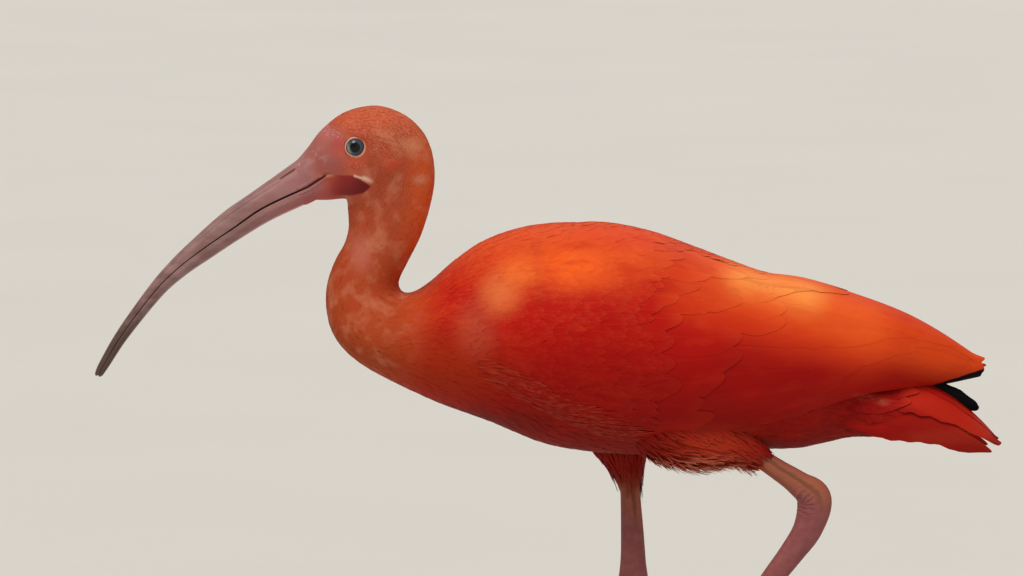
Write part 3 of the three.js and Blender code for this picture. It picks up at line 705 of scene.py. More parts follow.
def lidRing(side):
    # The rim of the lids: an oval band round the eyeball, a little longer along the face
    count, section = eye["lidRings"], eye["lidAround"]
    ex, _, ez = eye["centre"]
    rings = []
    for spin in np.arange(count) * turn / count:
        reach = eye["opening"] + eye["rim"] + eye["corner"] * abs(math.cos(spin - eye["tilt"])) ** 6
        ring = []
        for step in np.arange(section) * turn / section:
            away = reach + eye["rim"] * math.cos(step) * (eye["lidFlat"] if math.cos(step) > 0 else 1)
            out = eye["lidOut"] + eye["lidHeight"] * math.sin(step) - eye["lidSlope"] * math.cos(step)
            ring.append([ex + away * math.cos(spin), side * out, ez + away * math.sin(spin)])
        rings.append(ring)
    rings = np.array(rings)
    row = np.arange(count)[:, None] * section
    after = (np.arange(count)[:, None] + 1) % count * section
    here = np.arange(section)[None]
    there = (here + 1) % section
    quads = ringQuads(here, there, row, after)
    return outwards(rings.reshape(-1, 3), [quads])


def wingFlesh(side):
    start, end = wingSkin["ends"]
    xs = np.linspace(start, end, wingSkin["rings"])
    x, share = np.meshgrid(xs, np.linspace(wingSkin["top"], 1, wingSkin["rows"]), indexing="ij")
    shape = tableRead(wingRows, x)
    angle = np.radians(shape[..., 3] + (shape[..., 4] - shape[..., 3]) * share)
    front = wingSkin["frontEdge"] + (x - wingRows[0][0]) / wingSkin["frontTaper"]
    rear = wingSkin["rearEdge"] + (end - x) / wingSkin["rearTaper"]
    thick = np.minimum(1, np.minimum(front, rear))
    place = sheetPlace(wingRows, side)
    outer = onSurface(place, x, angle, np.full_like(x, -wingSkin["under"]))[0]
    inner = onSurface(place, x, angle, -wingSkin["under"] - wingSkin["thick"] * thick)[0]
    return closedLoft(np.concatenate([outer, inner[:, ::-1]], 1))


def legFlesh(side):
    parts = [wholeLimb(legPaths[side], **skin["leg"])]
    taper = skin["toe"]["taper"]
    for name, toe in toes.items():
        line = toeLine(side, name)[: len(toe["bones"]) + 1]
        sizes = [toe["thick"] * (1 - taper * i / len(toe["bones"])) for i in range(len(line))]
        path = [[*point, size, size] for point, size in zip(line, sizes)]
        parts.append(wholeLimb(path, skin["toe"]["rings"], skin["toe"]["around"]))
    return parts


def limbLines():
    # The middle lines of the legs and toes, as rows [x, y, z, place along it, and which way its front faces]
    rows = []
    for side in (left, right):
        lines = [np.array(legPaths[side])[:, :3]] + [np.array(toeLine(side, name)) for name in toes]
        for line in lines:
            points = smoothRead(line, np.linspace(0, len(line) - 1, skin["samples"]))
            along = np.concatenate([[0], np.cumsum(np.linalg.norm(np.diff(points, axis=0), axis=1))])
            front = unit(np.cross([0, 1, 0], np.gradient(points, axis=0)))
            rows.append(np.column_stack([points, along, front]))
    return np.concatenate(rows)


def markSkin(mesh):
    # How bare each point of the face is, and where the points of the legs lie along and round them
    points = np.zeros(3 * len(mesh.vertices))
    mesh.vertices.foreach_get("co", points)
    points = points.reshape(-1, 3) / mm
    lead = faceEdgeAt(points[:, 2]) - points[:, 0]
    lines = limbLines()
    tree = pointTree(lines[:, :3])
    low = np.flatnonzero(points[:, 2] < skin["legsBelow"])
    nearest = np.zeros(len(points), int)
    nearest[low] = [tree.find(points[i])[1] for i in low]
    off = unit(points - lines[nearest, :3])
    marks = {
        "bare": np.clip(0.5 + lead / skin["bareEdge"], 0, 1),
        "limbAlong": lines[nearest, 3],
        "limbFront": (off * lines[nearest, 4:7]).sum(-1),
    }
    addValues(mesh, marks)


def makeSkin(material):
    legs = looseObject("skin", legFlesh(left) + legFlesh(right))
    useModifier(legs, "REMESH", mode="VOXEL", voxel_size=skin["voxel"] * mm)
    useModifier(legs, "SMOOTH", **skin["smoothing"])
    flesh = [bodyFlesh(), wingFlesh(left), wingFlesh(right), lidRing(left), lidRing(right)]
    for side in (left, right):
        flesh.append(wholeLimb(thighPaths[side], **skin["thigh"]))
    for part in flesh:
        other = looseObject("flesh", [part])
        useModifier(legs, "BOOLEAN", operation="UNION", solver="MANIFOLD", object=other)
        bpy.data.objects.remove(other)
    for face in legs.data.polygons:
        face.use_smooth = True
    legs.data.materials.clear()
    legs.data.materials.append(material)
    markSkin(legs.data)
    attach(legs, "root")
    ends = [f"_{word}" for word in sideNames.values()]
    names = [part + end for part in ("wing", "thigh", "shank", "tarsus") for end in ends]
    names += [f"toe_{word}_{toe}" for word in sideNames.values() for toe in toes]
    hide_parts("head", "neck_upper", "neck_lower", "torso", "tail", *names)
    return legs


# Feathers: thin closed blades laid on a surface, each read across (-1 to 1), along (0 to 1) and in height
def tuftShape(rows, widths):
    # A three-sided blade: left edge, ridge and right edge in each row, and a tip
    across, along, height, width = [], [], [], []
    for v, w in zip(rows, widths):
        across += [-1, 0, 1]
        along += [v] * 3
        height += [0, 1, 0]
        width += [w] * 3
    tip = len(across)
    quads = []
    for i in range(0, tip - 3, 3):
        quads += [[i, i + 3, i + 4, i + 1], [i + 1, i + 4, i + 5, i + 2], [i + 2, i + 5, i + 3, i]]
    end = tip - 3
    triangles = [[0, 1, 2], [end, tip, end + 1], [end + 1, tip, end + 2], [end + 2, tip, end]]
    return {
        "across": np.array(across + [0], float),
        "along": np.array(along + [1], float),
        "height": np.array(height + [0], float),
        "width": np.array(width + [0], float),
        "rim": np.array([side != 0 for side in across] + [True]),
        "faces": [np.array(quads), np.array(triangles)],
    }


vaneForm = {
    "width": (0.5, 1.3, 0.9),  # its share at the root, and how it swells and narrows again along the vane
    "end": [[0, 1], [0.75, 1], [0.8125, 0.93], [0.9375, 0.93], [1, 0.5]],  # [share of length, of width]
    "shaftFalls": 0.6,  # how much lower the shaft is at the tip
}


def vaneShape(columns, rows):
    # Two sheets of quads with a rim between them; the shaft stands up along the middle
    u, v = np.meshgrid(np.linspace(-1, 1, columns + 1), np.linspace(0, 1, rows + 1))
    u, v = u.ravel(), v.ravel()
    root, swelling, narrowing = vaneForm["width"]
    width = (root + swelling * v - narrowing * v * v) * np.interp(v, *np.transpose(vaneForm["end"]))
    count = len(u)
    corner = (np.arange(rows)[:, None] * (columns + 1) + np.arange(columns)[None, :]).ravel()
    top = np.stack([corner, corner + columns + 1, corner + columns + 2, corner + 1], -1)
    bottom = top[:, ::-1] + count
    edge = list(range(columns + 1))
    edge += [r * (columns + 1) + columns for r in range(1, rows + 1)]
    edge += [rows * (columns + 1) + c for c in range(columns - 1, -1, -1)]
    edge += [r * (columns + 1) for r in range(rows - 1, 0, -1)]
    edge = np.array(edge)
    after = np.roll(edge, -1)
    rim = np.stack([edge, after, after + count, edge + count], -1)
    shaft = np.clip(1 - np.abs(u) * columns / 2, 0, 1) * (1 - vaneForm["shaftFalls"] * v)
    return {
        "across": np.tile(u, 2),
        "along": np.tile(v, 2),
        "height": np.concatenate([0.5 + shaft, np.full(count, -0.5)]),
        "width": np.tile(width, 2),
        "rim": np.tile((np.abs(u) == 1) | (v == 0) | (v == 1), 2),
        "faces": [np.concatenate([top, bottom, rim])],
    }


def featherBatch(shape, points, bake, vane, tints):
    # What coatPiece needs of many feathers of one shape; vane holds the place in each feather in millimetres
    size, count = len(shape["along"]), len(tints)
    base = (np.arange(count) * size)[:, None, None]
    return {
        "points": points.reshape(-1, 3),
        "faces": [(faces[None] + base).reshape(-1, faces.shape[1]) for faces in shape["faces"]],
        "bake": bake.reshape(-1, 2),
        "vane": vane.reshape(-1, 2),
        "along": np.tile(shape["along"], count),
        "tint": np.repeat(tints, size),
        "rim": np.tile(shape["rim"], count),
    }


def scatter(place, ends, angles, spacing, seed, keep):
    # Evenly spaced roots on a surface, drawn at random and thinned to one in each small circle
    chance = np.random.default_rng(seed)
    trials, crowding = 4000, 5
    trial = chance.uniform(size=(trials, 2))
    s = ends[0] + trial[:, 0] * (ends[1] - ends[0])
    a = angles[0] + trial[:, 1] * (angles[1] - angles[0])
    steps = onSurface(place, s, a, np.zeros_like(s))[1]
    cell = steps[0] * steps[1]
    area = cell.mean() * (ends[1] - ends[0]) * (angles[1] - angles[0])
    count = int(crowding * area / spacing**2 * cell.max() / cell.mean())
    draws = chance.uniform(size=(count, 3))
    s = ends[0] + draws[:, 0] * (ends[1] - ends[0])
    a = angles[0] + draws[:, 1] * (angles[1] - angles[0])
    points, steps = onSurface(place, s, a, np.zeros_like(s))
    good = (draws[:, 2] < steps[0] * steps[1] / cell.max()) & keep(points)
    s, a, points = s[good], a[good], points[good]
    tree = pointTree(points)
    alive = np.ones(len(points), bool)
    chosen = []
    for i, point in enumerate(points):
        if alive[i]:
            chosen.append(i)
            for other in tree.find_range(point, spacing):
                alive[other[1]] = False
    return s[chosen], a[chosen], points[chosen]


seeds = {
    "bodyRoots": 11, "bodyLook": 31, "shoulderRoots": 71, "shoulderLook": 73, "flankEnds": 78,
    "flankRoots": 79, "flankLook": 80, "thighRoots": 81, "thighEnd": 82, "thighLook": 83, "fringeRoots": 85,
    "fringeLook": 86, "mantleRoots": 89, "mantleLook": 90, "wing": 101, "primaries": 121, "tail": 141,
    "vent": 161,
}
tufts = {
    "widthVaries": 0.2,
    "rounding": 0.6,  # how far the edges of a blade stay behind its middle, in half widths
    "ridgeFalls": 0.5,  # how much lower its ridge is at the tip
    "rise": 0.3,  # a small power brings it up from its root's lift to its tip's early
    "tone": 0.45,  # how much the tint differs from feather to feather
    "bakePatch": 0.003,
}


def layTufts(place, shape, s, a, look, seed, unwrap, trim=1.0):
    # Blades rooted at s, a that run along the surface. look gives their sizes in millimetres.
    chance = np.random.default_rng(seed)
    count = len(s)
    even = chance.uniform(-1, 1, size=(count, 5))
    steps = onSurface(place, s, a, np.zeros(count))[1]
    u, v, w, h = (shape[key][None] for key in ("across", "along", "width", "height"))
    size = np.ones(count) * trim
    length = (size * look["length"] * (1 + look["uneven"] * even[:, 0]))[:, None]
    half = (size**0.5 * look["half"] * (1 + tufts["widthVaries"] * even[:, 1]))[:, None]
    yaw = (look["yaw"] * even[:, 2] + look.get("sweep", 0) * np.sin(a) + look.get("bias", 0))[:, None]
    forward = v * length - u**2 * half * w * tufts["rounding"] * v
    sideways = u * w * half + look.get("curl", 0) * even[:, 3:4] * v**2 * length
    along = s[:, None] + (forward * np.cos(yaw) - sideways * np.sin(yaw)) / steps[0][:, None]
    around = a[:, None] + (forward * np.sin(yaw) + sideways * np.cos(yaw)) / steps[1][:, None]
    rootLift, tipLift = look["lifts"]
    tipLift = tipLift + look["loose"] * (even[:, 4:5] + 1) * v
    lift = rootLift + (tipLift - rootLift) * v ** look.get("rise", tufts["rise"])
    out = lift * size[:, None] + h * look["thick"] * (1 - tufts["ridgeFalls"] * v)
    points = onSurface(place, along, around, out)[0]
    tints = 0.5 + look.get("tone", tufts["tone"]) * chance.uniform(-0.5, 0.5, count)
    flatS, flatA = unwrap(s, a)
    patch = tufts["bakePatch"]
    bake = np.stack([flatS[:, None] + patch * (v - 0.5), flatA[:, None] + patch * u / 2], -1)
    return featherBatch(shape, points, bake, np.stack([u * w * half, v * length], -1), tints)


def coatPiece(name, batches, material, dark=0.0, slot="plumage"):
    # dark tells the plumage where it is black: 1 in the wing's tip, 2 at the ends of the inner primaries.
    # -1 is for the flank, which is paler.
    points, faceSets, base = [], [], 0
    for batch in batches:
        faceSets += [each + base for each in outwards(batch["points"], batch["faces"])[1]]
        points.append(batch["points"])
        base += len(batch["points"])

    def gather(key):
        return np.concatenate([batch[key] for batch in batches])

    uvs = {"OFBake": gather("bake"), "vane": gather("vane")}
    values = {"along": gather("along"), "tint": gather("tint"), "dark": np.full(base, dark)}
    newPiece(name, np.concatenate(points), faceSets, slot, material, uvs, values, gather("rim"))
    triangles = sum(len(faces) * (faces.shape[1] - 2) for faces in faceSets)
    print(f"{name}: {triangles} triangles")


def bodyUnwrap(s, a):
    margin = 0.02
    inner = 1 - 2 * margin
    return margin + inner * s / lastSlice, margin + inner * (a % turn) / turn


def wingOval(points):
    # How far across and up points lie in the wing's oval, as shares of it, and the wing's rows there
    shape = tableRead(wingRows, points[..., 0])
    up = points[..., 2] - shape[..., 0] + shape[..., 1]
    return points[..., 1] / shape[..., 2], up / shape[..., 1], shape


def wingAngles(points):
    # The angle of points round the wing's oval, and the angles where the wing begins and ends there
    across, up, shape = wingOval(points)
    return np.degrees(np.arctan2(np.abs(across), up)), shape[..., 3], shape[..., 4]


# The body needs no feathers where a folded wing hides it: between these x, and so many degrees inside the
# wing's upper and lower edges
hidden = {"ends": (-20, 146), "top": 7, "bottom": 5}


def underWing(points):
    angle, first, last = wingAngles(points)
    inside = (points[:, 0] > hidden["ends"][0]) & (points[:, 0] < hidden["ends"][1])
    return inside & (angle > first + hidden["top"]) & (angle < last - hidden["bottom"])


slimTuft = tuftShape([0, 0.4, 0.8, 0.94], [0.6, 1.0, 0.86, 0.5])
roundTuft = tuftShape([0, 0.3, 0.6, 0.82, 0.95], [0.6, 1.0, 1.0, 0.86, 0.5])


# Body feathers, region by region from the face to the tail's root, each between two slices
bodyCoat = {
    "coat_head": {
        "place": facePlace,
        "slices": (0.8, 8.1),
        "spacing": 0.78,
        "shape": slimTuft,
        "slot": "head_plumage",
        "look": {"length": 3.4, "half": 0.6, "uneven": 0.3, "yaw": 0.3, "lifts": (-0.2, 0.0),
                 "loose": 0.05, "thick": 0.05},
    },
    "coat_neck_upper": {
        "place": bodyPlace,
        "slices": (8.0, 12.1),
        "spacing": 0.88,
        "shape": slimTuft,
        "slot": "head_plumage",
        "look": {"length": 5.0, "half": 0.74, "uneven": 0.3, "yaw": 0.22, "lifts": (-0.24, 0.0),
                 "loose": 0.04, "thick": 0.045},
    },
    "coat_neck_lower": {
        "place": bodyPlace,
        "slices": (12.0, 16.1),
        "spacing": 1.25,
        "shape": slimTuft,
        "slot": "head_plumage",
        "look": {"length": 7.6, "half": 1.08, "uneven": 0.28, "yaw": 0.2, "lifts": (-0.4, 0.0),
                 "loose": 0.05, "thick": 0.055},
    },
    "coat_breast": {
        "place": bodyPlace,
        "slices": (16.0, 19.1),
        "spacing": 1.6,
        "shape": roundTuft,
        "slot": "plumage",
        "look": {"length": 10.6, "half": 1.8, "uneven": 0.25, "yaw": 0.18, "lifts": (-0.7, 0.0),
                 "loose": 0.08, "thick": 0.1},
    },
    "coat_body": {
        "place": bodyPlace,
        "slices": (19.0, 25.1),
        "spacing": 2.0,
        "shape": roundTuft,
        "slot": "plumage",
        "look": {"length": 13.6, "half": 2.4, "uneven": 0.25, "yaw": 0.18, "lifts": (-1.0, 0.0),
                 "loose": 0.1, "thick": 0.1},
    },
    "coat_rump": {
        "place": bodyPlace,
        "slices": (25.0, 29.6),
        "spacing": 2.0,
        "shape": roundTuft,
        "slot": "plumage",
        "look": {"length": 13.4, "half": 2.4, "uneven": 0.2, "yaw": 0.14, "lifts": (-0.9, 0.1),
                 "loose": 0.12, "thick": 0.1},
    },
}
faceTrim = {"shortest": 0.4, "full": 12}  # feathers are this short at the naked face, and full so far from it


def makeBodyCoat(material):
    def keep(points):
        return ~underWing(points) & (points[:, 0] > faceEdgeAt(points[:, 2]))

    for number, (name, region) in enumerate(bodyCoat.items()):
        # The roots are spread on the plain surface, which is even, and the feathers then lie on their own
        seed = seeds["bodyRoots"] + number
        s, a, points = scatter(bodyPlace, region["slices"], (0, turn), region["spacing"], seed, keep)
        gone = (points[:, 0] - faceEdgeAt(points[:, 2])) / faceTrim["full"]
        trim = np.clip(faceTrim["shortest"] + gone, faceTrim["shortest"], 1)
        seed = seeds["bodyLook"] + number
        batch = layTufts(region["place"], region["shape"], s, a, region["look"], seed, bodyUnwrap, trim)
        coatPiece(name, [batch], material, slot=region["slot"])


# Wing and tail vanes in tiers, from the upper feather of each tier to its lowest. The places of
# their roots and tips are [x, share of the way down the sheet].
wingTiers = {
    "tipFilling": {"count": 3, "from": [[160, 0.3], [160, 0.9]], "to": [[206.5, 0.3], [205, 0.9]],
                   "half": [6.0, 6.0], "lifts": (-1.8, -2.8), "flare": 0.8, "uneven": 1},
    "primaries": {"count": 9, "from": [[104, 0.3], [84, 0.97]], "to": [[206, 0.42], [203, 0.96]],
                  "half": [8.0, 7.4], "lifts": (-1.5, -0.4), "flare": 0.8, "uneven": 2},
    "secondaries": {"count": 8, "from": [[66, 0.06], [38, 0.94]], "to": [[202, 0.22], [130, 0.96]],
                    "half": [9.6, 8.8], "lifts": (-1.5, -0.32), "flare": 0.8, "uneven": 7},
    "tertials": {"count": 4, "from": [[70, 0.06], [58, 0.5]], "to": [[205, 0.1], [160, 0.5]],
                 "half": [9.8, 9.2], "lifts": (-1.5, -0.24), "flare": 1.1, "uneven": 4},
    "greaterCoverts": {"count": 8, "from": [[40, 0.31], [10, 0.96]], "to": [[110, 0.36], [66, 0.98]],
                       "half": [9.6, 8.4], "lifts": (-1.5, -0.18), "flare": 0.9, "uneven": 16},
    "medianCoverts": {"count": 8, "from": [[16, 0.38], [-8, 0.92]], "to": [[76, 0.36], [40, 0.97]],
                      "half": [8.8, 7.8], "lifts": (-1.5, -0.1), "flare": 0.9, "uneven": 16},
    "lowerScapulars": {"count": 5, "from": [[30, 0.05], [0, 0.36]], "to": [[140, 0.07], [92, 0.34]],
                       "half": [10.4, 9.4], "lifts": (-1.5, -0.14), "flare": 0.9, "uneven": 16},
    "midScapulars": {"count": 5, "from": [[8, 0.06], [-12, 0.36]], "to": [[100, 0.09], [66, 0.36]],
                     "half": [9.8, 8.8], "lifts": (-1.5, -0.06), "flare": 0.9, "uneven": 16},
    "upperScapulars": {"count": 6, "from": [[-8, 0.1], [-20, 0.36]], "to": [[64, 0.08], [44, 0.38]],
                       "half": [8.8, 7.8], "lifts": (-1.5, 0.0), "flare": 0.9, "uneven": 14},
}
# Some folded primaries lie inside the wing's tip and show below it
primaryRows = [
    [110, 232.0, 34.0, 24.0, 20, 165],
    [140, 222.0, 27.0, 12.0, 20, 165],
    [165, 212.0, 18.5, 7.0, 20, 165],
    [185, 202.0, 12.5, 5.5, 20, 165],
    [200, 193.0, 8.0, 4.5, 20, 165],
    [208, 187.0, 5.0, 3.5, 20, 165],
]
primaryTiers = {
    "innerPrimaries": {"count": 2, "from": [[120, 0.42], [116, 0.56]], "to": [[203.5, 0.7], [199, 0.84]],
                       "half": [4.2, 4.0], "lifts": (-1.0, 0.0), "flare": 0.8, "uneven": 1, "bend": 3},
}
tailTiers = {
    "centralRectrix": {"count": 1, "from": [[136, 0.0], [136, 0.0]], "to": [[211, 0.08], [211, 0.08]],
                       "half": [11.0, 11.0], "lifts": (-3.2, 0.05), "tilt": -0.01, "flare": 1.6,
                       "uneven": 0.2, "limit": 0.4, "rise": 0.5},
    "innerRectrix": {"count": 1, "from": [[132, 0.34], [132, 0.34]], "to": [[214, 0.46], [214, 0.46]],
                     "half": [13.0, 13.0], "lifts": (-3.6, -0.15), "flare": 1.8, "uneven": 0.2, "limit": 0.42,
                     "rise": 0.45},
    "outerRectrix": {"count": 1, "from": [[130, 0.84], [130, 0.84]], "to": [[209.5, 0.92], [209.5, 0.92]],
                     "half": [6.8, 6.8], "lifts": (-4.2, -1.1), "flare": 1.9, "uneven": 0.2, "rise": 0.5},
    "upperTailCoverts": {"count": 4, "from": [[126, 0.1], [126, 0.62]], "to": [[181, 0.14], [174, 0.6]],
                         "half": [7.0, 6.6], "lifts": (-1.5, -0.25), "flare": 1.9, "uneven": 7},
}
ventTiers = {
    "underTailCoverts": {"count": 4, "from": [[128, 0.05], [128, 0.95]], "to": [[196, 0.1], [184, 0.9]],
                         "half": [7.0, 6.6], "lifts": (-1.5, 0.0), "flare": 1.8, "uneven": 6},
}
longVane = vaneShape(columns=10, rows=32)
vanes = {
    "limit": 0.3,  # the widest that half a vane may be, as a share of the way round the sheet
    "widthVaries": 0.07, "fray": 0.04, "frayWaves": 47, "tone": 0.9,
    "rise": 0.25, "tilt": 0.014, "loose": 0.05, "arch": 0.012, "thick": 0.08, "thinning": 0.3,
    "dipEnd": 112, "dipFade": 30, "dipReach": 0.12,  # where the wing sinks under the back's feathers
}


def layVanes(rows, side, tier, seed, cell, cells, dip):
    chance = np.random.default_rng(seed)
    count = tier["count"]
    k = np.linspace(0, 1, count)[:, None]
    start = np.array(tier["from"][0]) * (1 - k) + np.array(tier["from"][1]) * k
    end = np.array(tier["to"][0]) * (1 - k) + np.array(tier["to"][1]) * k
    end[:, 0] += tier["uneven"] * chance.uniform(-0.5, 0.5, count)
    half = tier["half"][0] * (1 - k) + tier["half"][1] * k
    half = half * chance.uniform(1 - vanes["widthVaries"], 1 + vanes["widthVaries"], (count, 1))
    u, v, w, h = (longVane[key][None] for key in ("across", "along", "width", "height"))
    middle = start[:, :1] + (end - start)[:, :1] * v
    form = tableRead(rows, middle)
    arc = (form[..., 1] + form[..., 2]) / 2 * np.radians(form[..., 4] - form[..., 3])
    girth = np.minimum(half * w, tier.get("limit", vanes["limit"]) * arc)
    waves = v * vanes["frayWaves"] + 9 * chance.uniform(size=(count, 1))
    fray = vanes["fray"] * np.sin(waves) * np.abs(u) ** 3
    x = middle - u**2 * girth * tier["flare"] * v
    share = start[:, 1:] + (end - start)[:, 1:] * v ** tier.get("bend", 1)
    form = tableRead(rows, x)
    first, last, wide = np.radians(form[..., 3]), np.radians(form[..., 4]), (form[..., 1] + form[..., 2]) / 2
    angle = first + (last - first) * share + (u + fray) * girth / wide
    rootLift, tipLift = tier["lifts"]
    lift = rootLift + (tipLift - rootLift) * v ** tier.get("rise", vanes["rise"])
    lift = lift + tier.get("tilt", vanes["tilt"]) * u * girth
    sink = dip * np.clip((vanes["dipEnd"] - x) / vanes["dipFade"], 0, 1)
    lift = lift - sink * fall(np.maximum(angle - first, 0), vanes["dipReach"])
    lift = lift + vanes["loose"] * chance.uniform(-1, 1, (count, 1)) * v - vanes["arch"] * girth * u**2
    out = lift + h * vanes["thick"] * (1 - vanes["thinning"] * v)
    points = onSurface(sheetPlace(rows, side), x, angle, out)[0]
    tints = 0.5 + vanes["tone"] * chance.uniform(-0.5, 0.5, count)
    # Each vane has a cell of the map to itself, with its upper face on the left and its lower one beside it
    number = cell + np.arange(count)[:, None]
    column, line = number % cells, number // cells
    margin, breadth = 0.05, 0.4
    under = np.where(np.arange(u.shape[1]) < u.shape[1] // 2, 0.0, 0.5)[None]
    flatU = (column + margin + breadth * (u + 1) / 2 + under) / cells
    flatV = (line + margin + (1 - 2 * margin) * v) / cells
    vane = np.stack([u * girth, v * np.abs(end - start)[:, :1]], -1)
    return featherBatch(longVane, points, np.stack([flatU, flatV], -1), vane, tints)


def makeVanes(name, rows, side, tiers, material, seed, dark=0.0, dip=0.0):
    cells = math.ceil(math.sqrt(sum(tier["count"] for tier in tiers.values())))
    batches, cell = [], 0
    for number, tier in enumerate(tiers.values()):
        batches.append(layVanes(rows, side, tier, seed + number, cell, cells, dip))
        cell += tier["count"]
    coatPiece(f"{name}_{sideNames[side]}", batches, material, dark)


# Small coverts over the shoulder and the wing's leading edge, growing towards the rear
shoulderBands = {
    "edge": {"ends": (-36.5, -16), "spacing": 1.6, "length": 11.0, "half": 1.7, "lifts": (-0.9, 0.0)},
    "marginal": {"ends": (-22, 6), "spacing": 2.2, "length": 14.5, "half": 2.7, "lifts": (-0.9, 0.02)},
    "lesser": {"ends": (2, 34), "spacing": 3.0, "length": 20, "half": 4.0, "lifts": (-0.9, 0.06)},
}
shoulderLook = {"angles": (0.15, 2.3), "uneven": 0.3, "yaw": 0.2, "loose": 0.03, "thick": 0.06, "rise": 0.22}
# Flank feathers that grow below the wing's edge and lie a little way over it
flankBand = {"slices": (17.2, 22.4), "over": 5, "below": 13, "spacing": 1.05, "length": 11.5, "half": 0.6,
             "rise": 0.4, "lifts": (-0.4, 0.18), "sweep": -0.1, "uneven": 0.35, "yaw": 0.13, "loose": 0.1,
             "thick": 0.04, "tone": 0.9, "front": -38, "frontFade": 9, "rear": 46, "rearFade": 16}
# How the surface that they lie on leaves the body for the wing: from this x, and over so many degrees
flankRise = {"from": -40, "over": 9, "degrees": 11}
# Back feathers that close the back between the wings, reaching so many degrees over each
mantle = {"ends": (2, 88), "angles": (-0.8, 0.8), "spacing": 2.3, "length": 15.0, "half": 3.0, "uneven": 0.25,
          "yaw": 0.16, "lifts": (-2.0, -0.55), "loose": 0.03, "thick": 0.05, "over": 5}
wingUnwrap = {"start": -45, "length": 265}


def onWing(points, margin=3):
    angle, first, last = wingAngles(points)
    return (angle > first - margin) & (angle < last + margin)


def unwrapOneWing(x, angle):
    return (x - wingUnwrap["start"]) / wingUnwrap["length"], angle / math.pi


def unwrapBack(x, angle):
    return (x - wingUnwrap["start"]) / wingUnwrap["length"], angle / turn + 0.5


def shoulderCoverts(side):
    place = sheetPlace(wingRows, side)
    batches = []
    for number, band in enumerate(shoulderBands.values()):
        look = {**band, **shoulderLook}
        seed = seeds["shoulderRoots"] + number
        s, a = scatter(place, look["ends"], look["angles"], look["spacing"], seed, onWing)[:2]
        seed = seeds["shoulderLook"] + side + number
        batches.append(layTufts(place, roundTuft, s, a, look, seed, unwrapOneWing))
    return batches


def flankPlace(station, around):
    # The body's surface, drawn out towards the wing's as it nears the wing's lower edge
    points = bodyPlace(station, around)
    across, up, shape = wingOval(points)
    angle, _, last = wingAngles(points)
    out = np.maximum(1 / np.hypot(across, up) - 1, 0)
    near = np.clip((last + flankRise["degrees"] - angle) / flankRise["degrees"], 0, 1)
    near = near * np.clip((points[..., 0] - flankRise["from"]) / flankRise["over"], 0, 1)
    out = out * near**2 * (3 - 2 * near)
    rise = up * shape[..., 1] * out
    return np.stack([points[..., 0], points[..., 1] * (1 + out), points[..., 2] + rise], -1)


def flankCoat(side):
    band = flankBand

    def underEdge(points):
        angle, _, last = wingAngles(points)
        return (points[:, 1] * side > 0) & (angle > last - band["over"]) & (angle < last + band["below"])

    lowerHalf = (math.pi / 2, 3 * math.pi / 2)
    seed = seeds["flankRoots"]
    s, a, points = scatter(bodyPlace, band["slices"], lowerHalf, band["spacing"], seed, underEdge)
    fade = np.clip((points[:, 0] - band["front"]) / band["frontFade"], 0, 1)
    fade = fade * np.clip((band["rear"] - points[:, 0]) / band["rearFade"], 0, 1)
    kept = np.random.default_rng(seeds["flankEnds"]).uniform(size=len(s)) < fade
    return [layTufts(flankPlace, slimTuft, s[kept], a[kept], band, seeds["flankLook"] + side, bodyUnwrap)]


def mantleCoat():
    def between(points):
        angle, first, _ = wingAngles(points)
        return angle < first + mantle["over"]

    place = sheetPlace(wingRows, right)
    seed = seeds["mantleRoots"]
    s, a = scatter(place, mantle["ends"], mantle["angles"], mantle["spacing"], seed, between)[:2]
    return [layTufts(place, roundTuft, s, a, mantle, seeds["mantleLook"], unwrapBack)]


# Thigh feathers, loose and shaggy on the thigh and short where they meet the bare leg
thighCoat = {
    "spacing": 1.7,
    "look": {"length": 14.5, "half": 1.05, "uneven": 0.4, "yaw": 0.22, "lifts": (-0.9, 0.15), "loose": 0.4,
             "thick": 0.08, "curl": 0.14, "tone": 0.7},
    "sunk": 1.5,  # no feathers are rooted deeper in the body than this
    "ends": {left: [104.0, -22.6, 156.3, 5.1, 4.7], right: [41.0, 22.0, 129.0, 4.9, 4.4]},
    "start": 0.3,
    "stop": {left: 1.15, right: 1.8},  # how many rows before the end the last feathers are rooted
    "slant": 0.35,
    "thinning": {"before": 0.5, "over": 0.7},
    "longest": 1.2,
    "shortest": 0.3,
    "fringe": {"rows": (0.7, 3.3), "reach": 0.8, "spacing": 1.5, "length": 17.0, "half": 0.42, "uneven": 0.35,
               "yaw": 0.3, "bias": -0.1, "lifts": (-1.0, 2.2), "rise": 1.3, "loose": 0.9, "thick": 0.05,
               "curl": 0.16, "tone": 0.95},
}


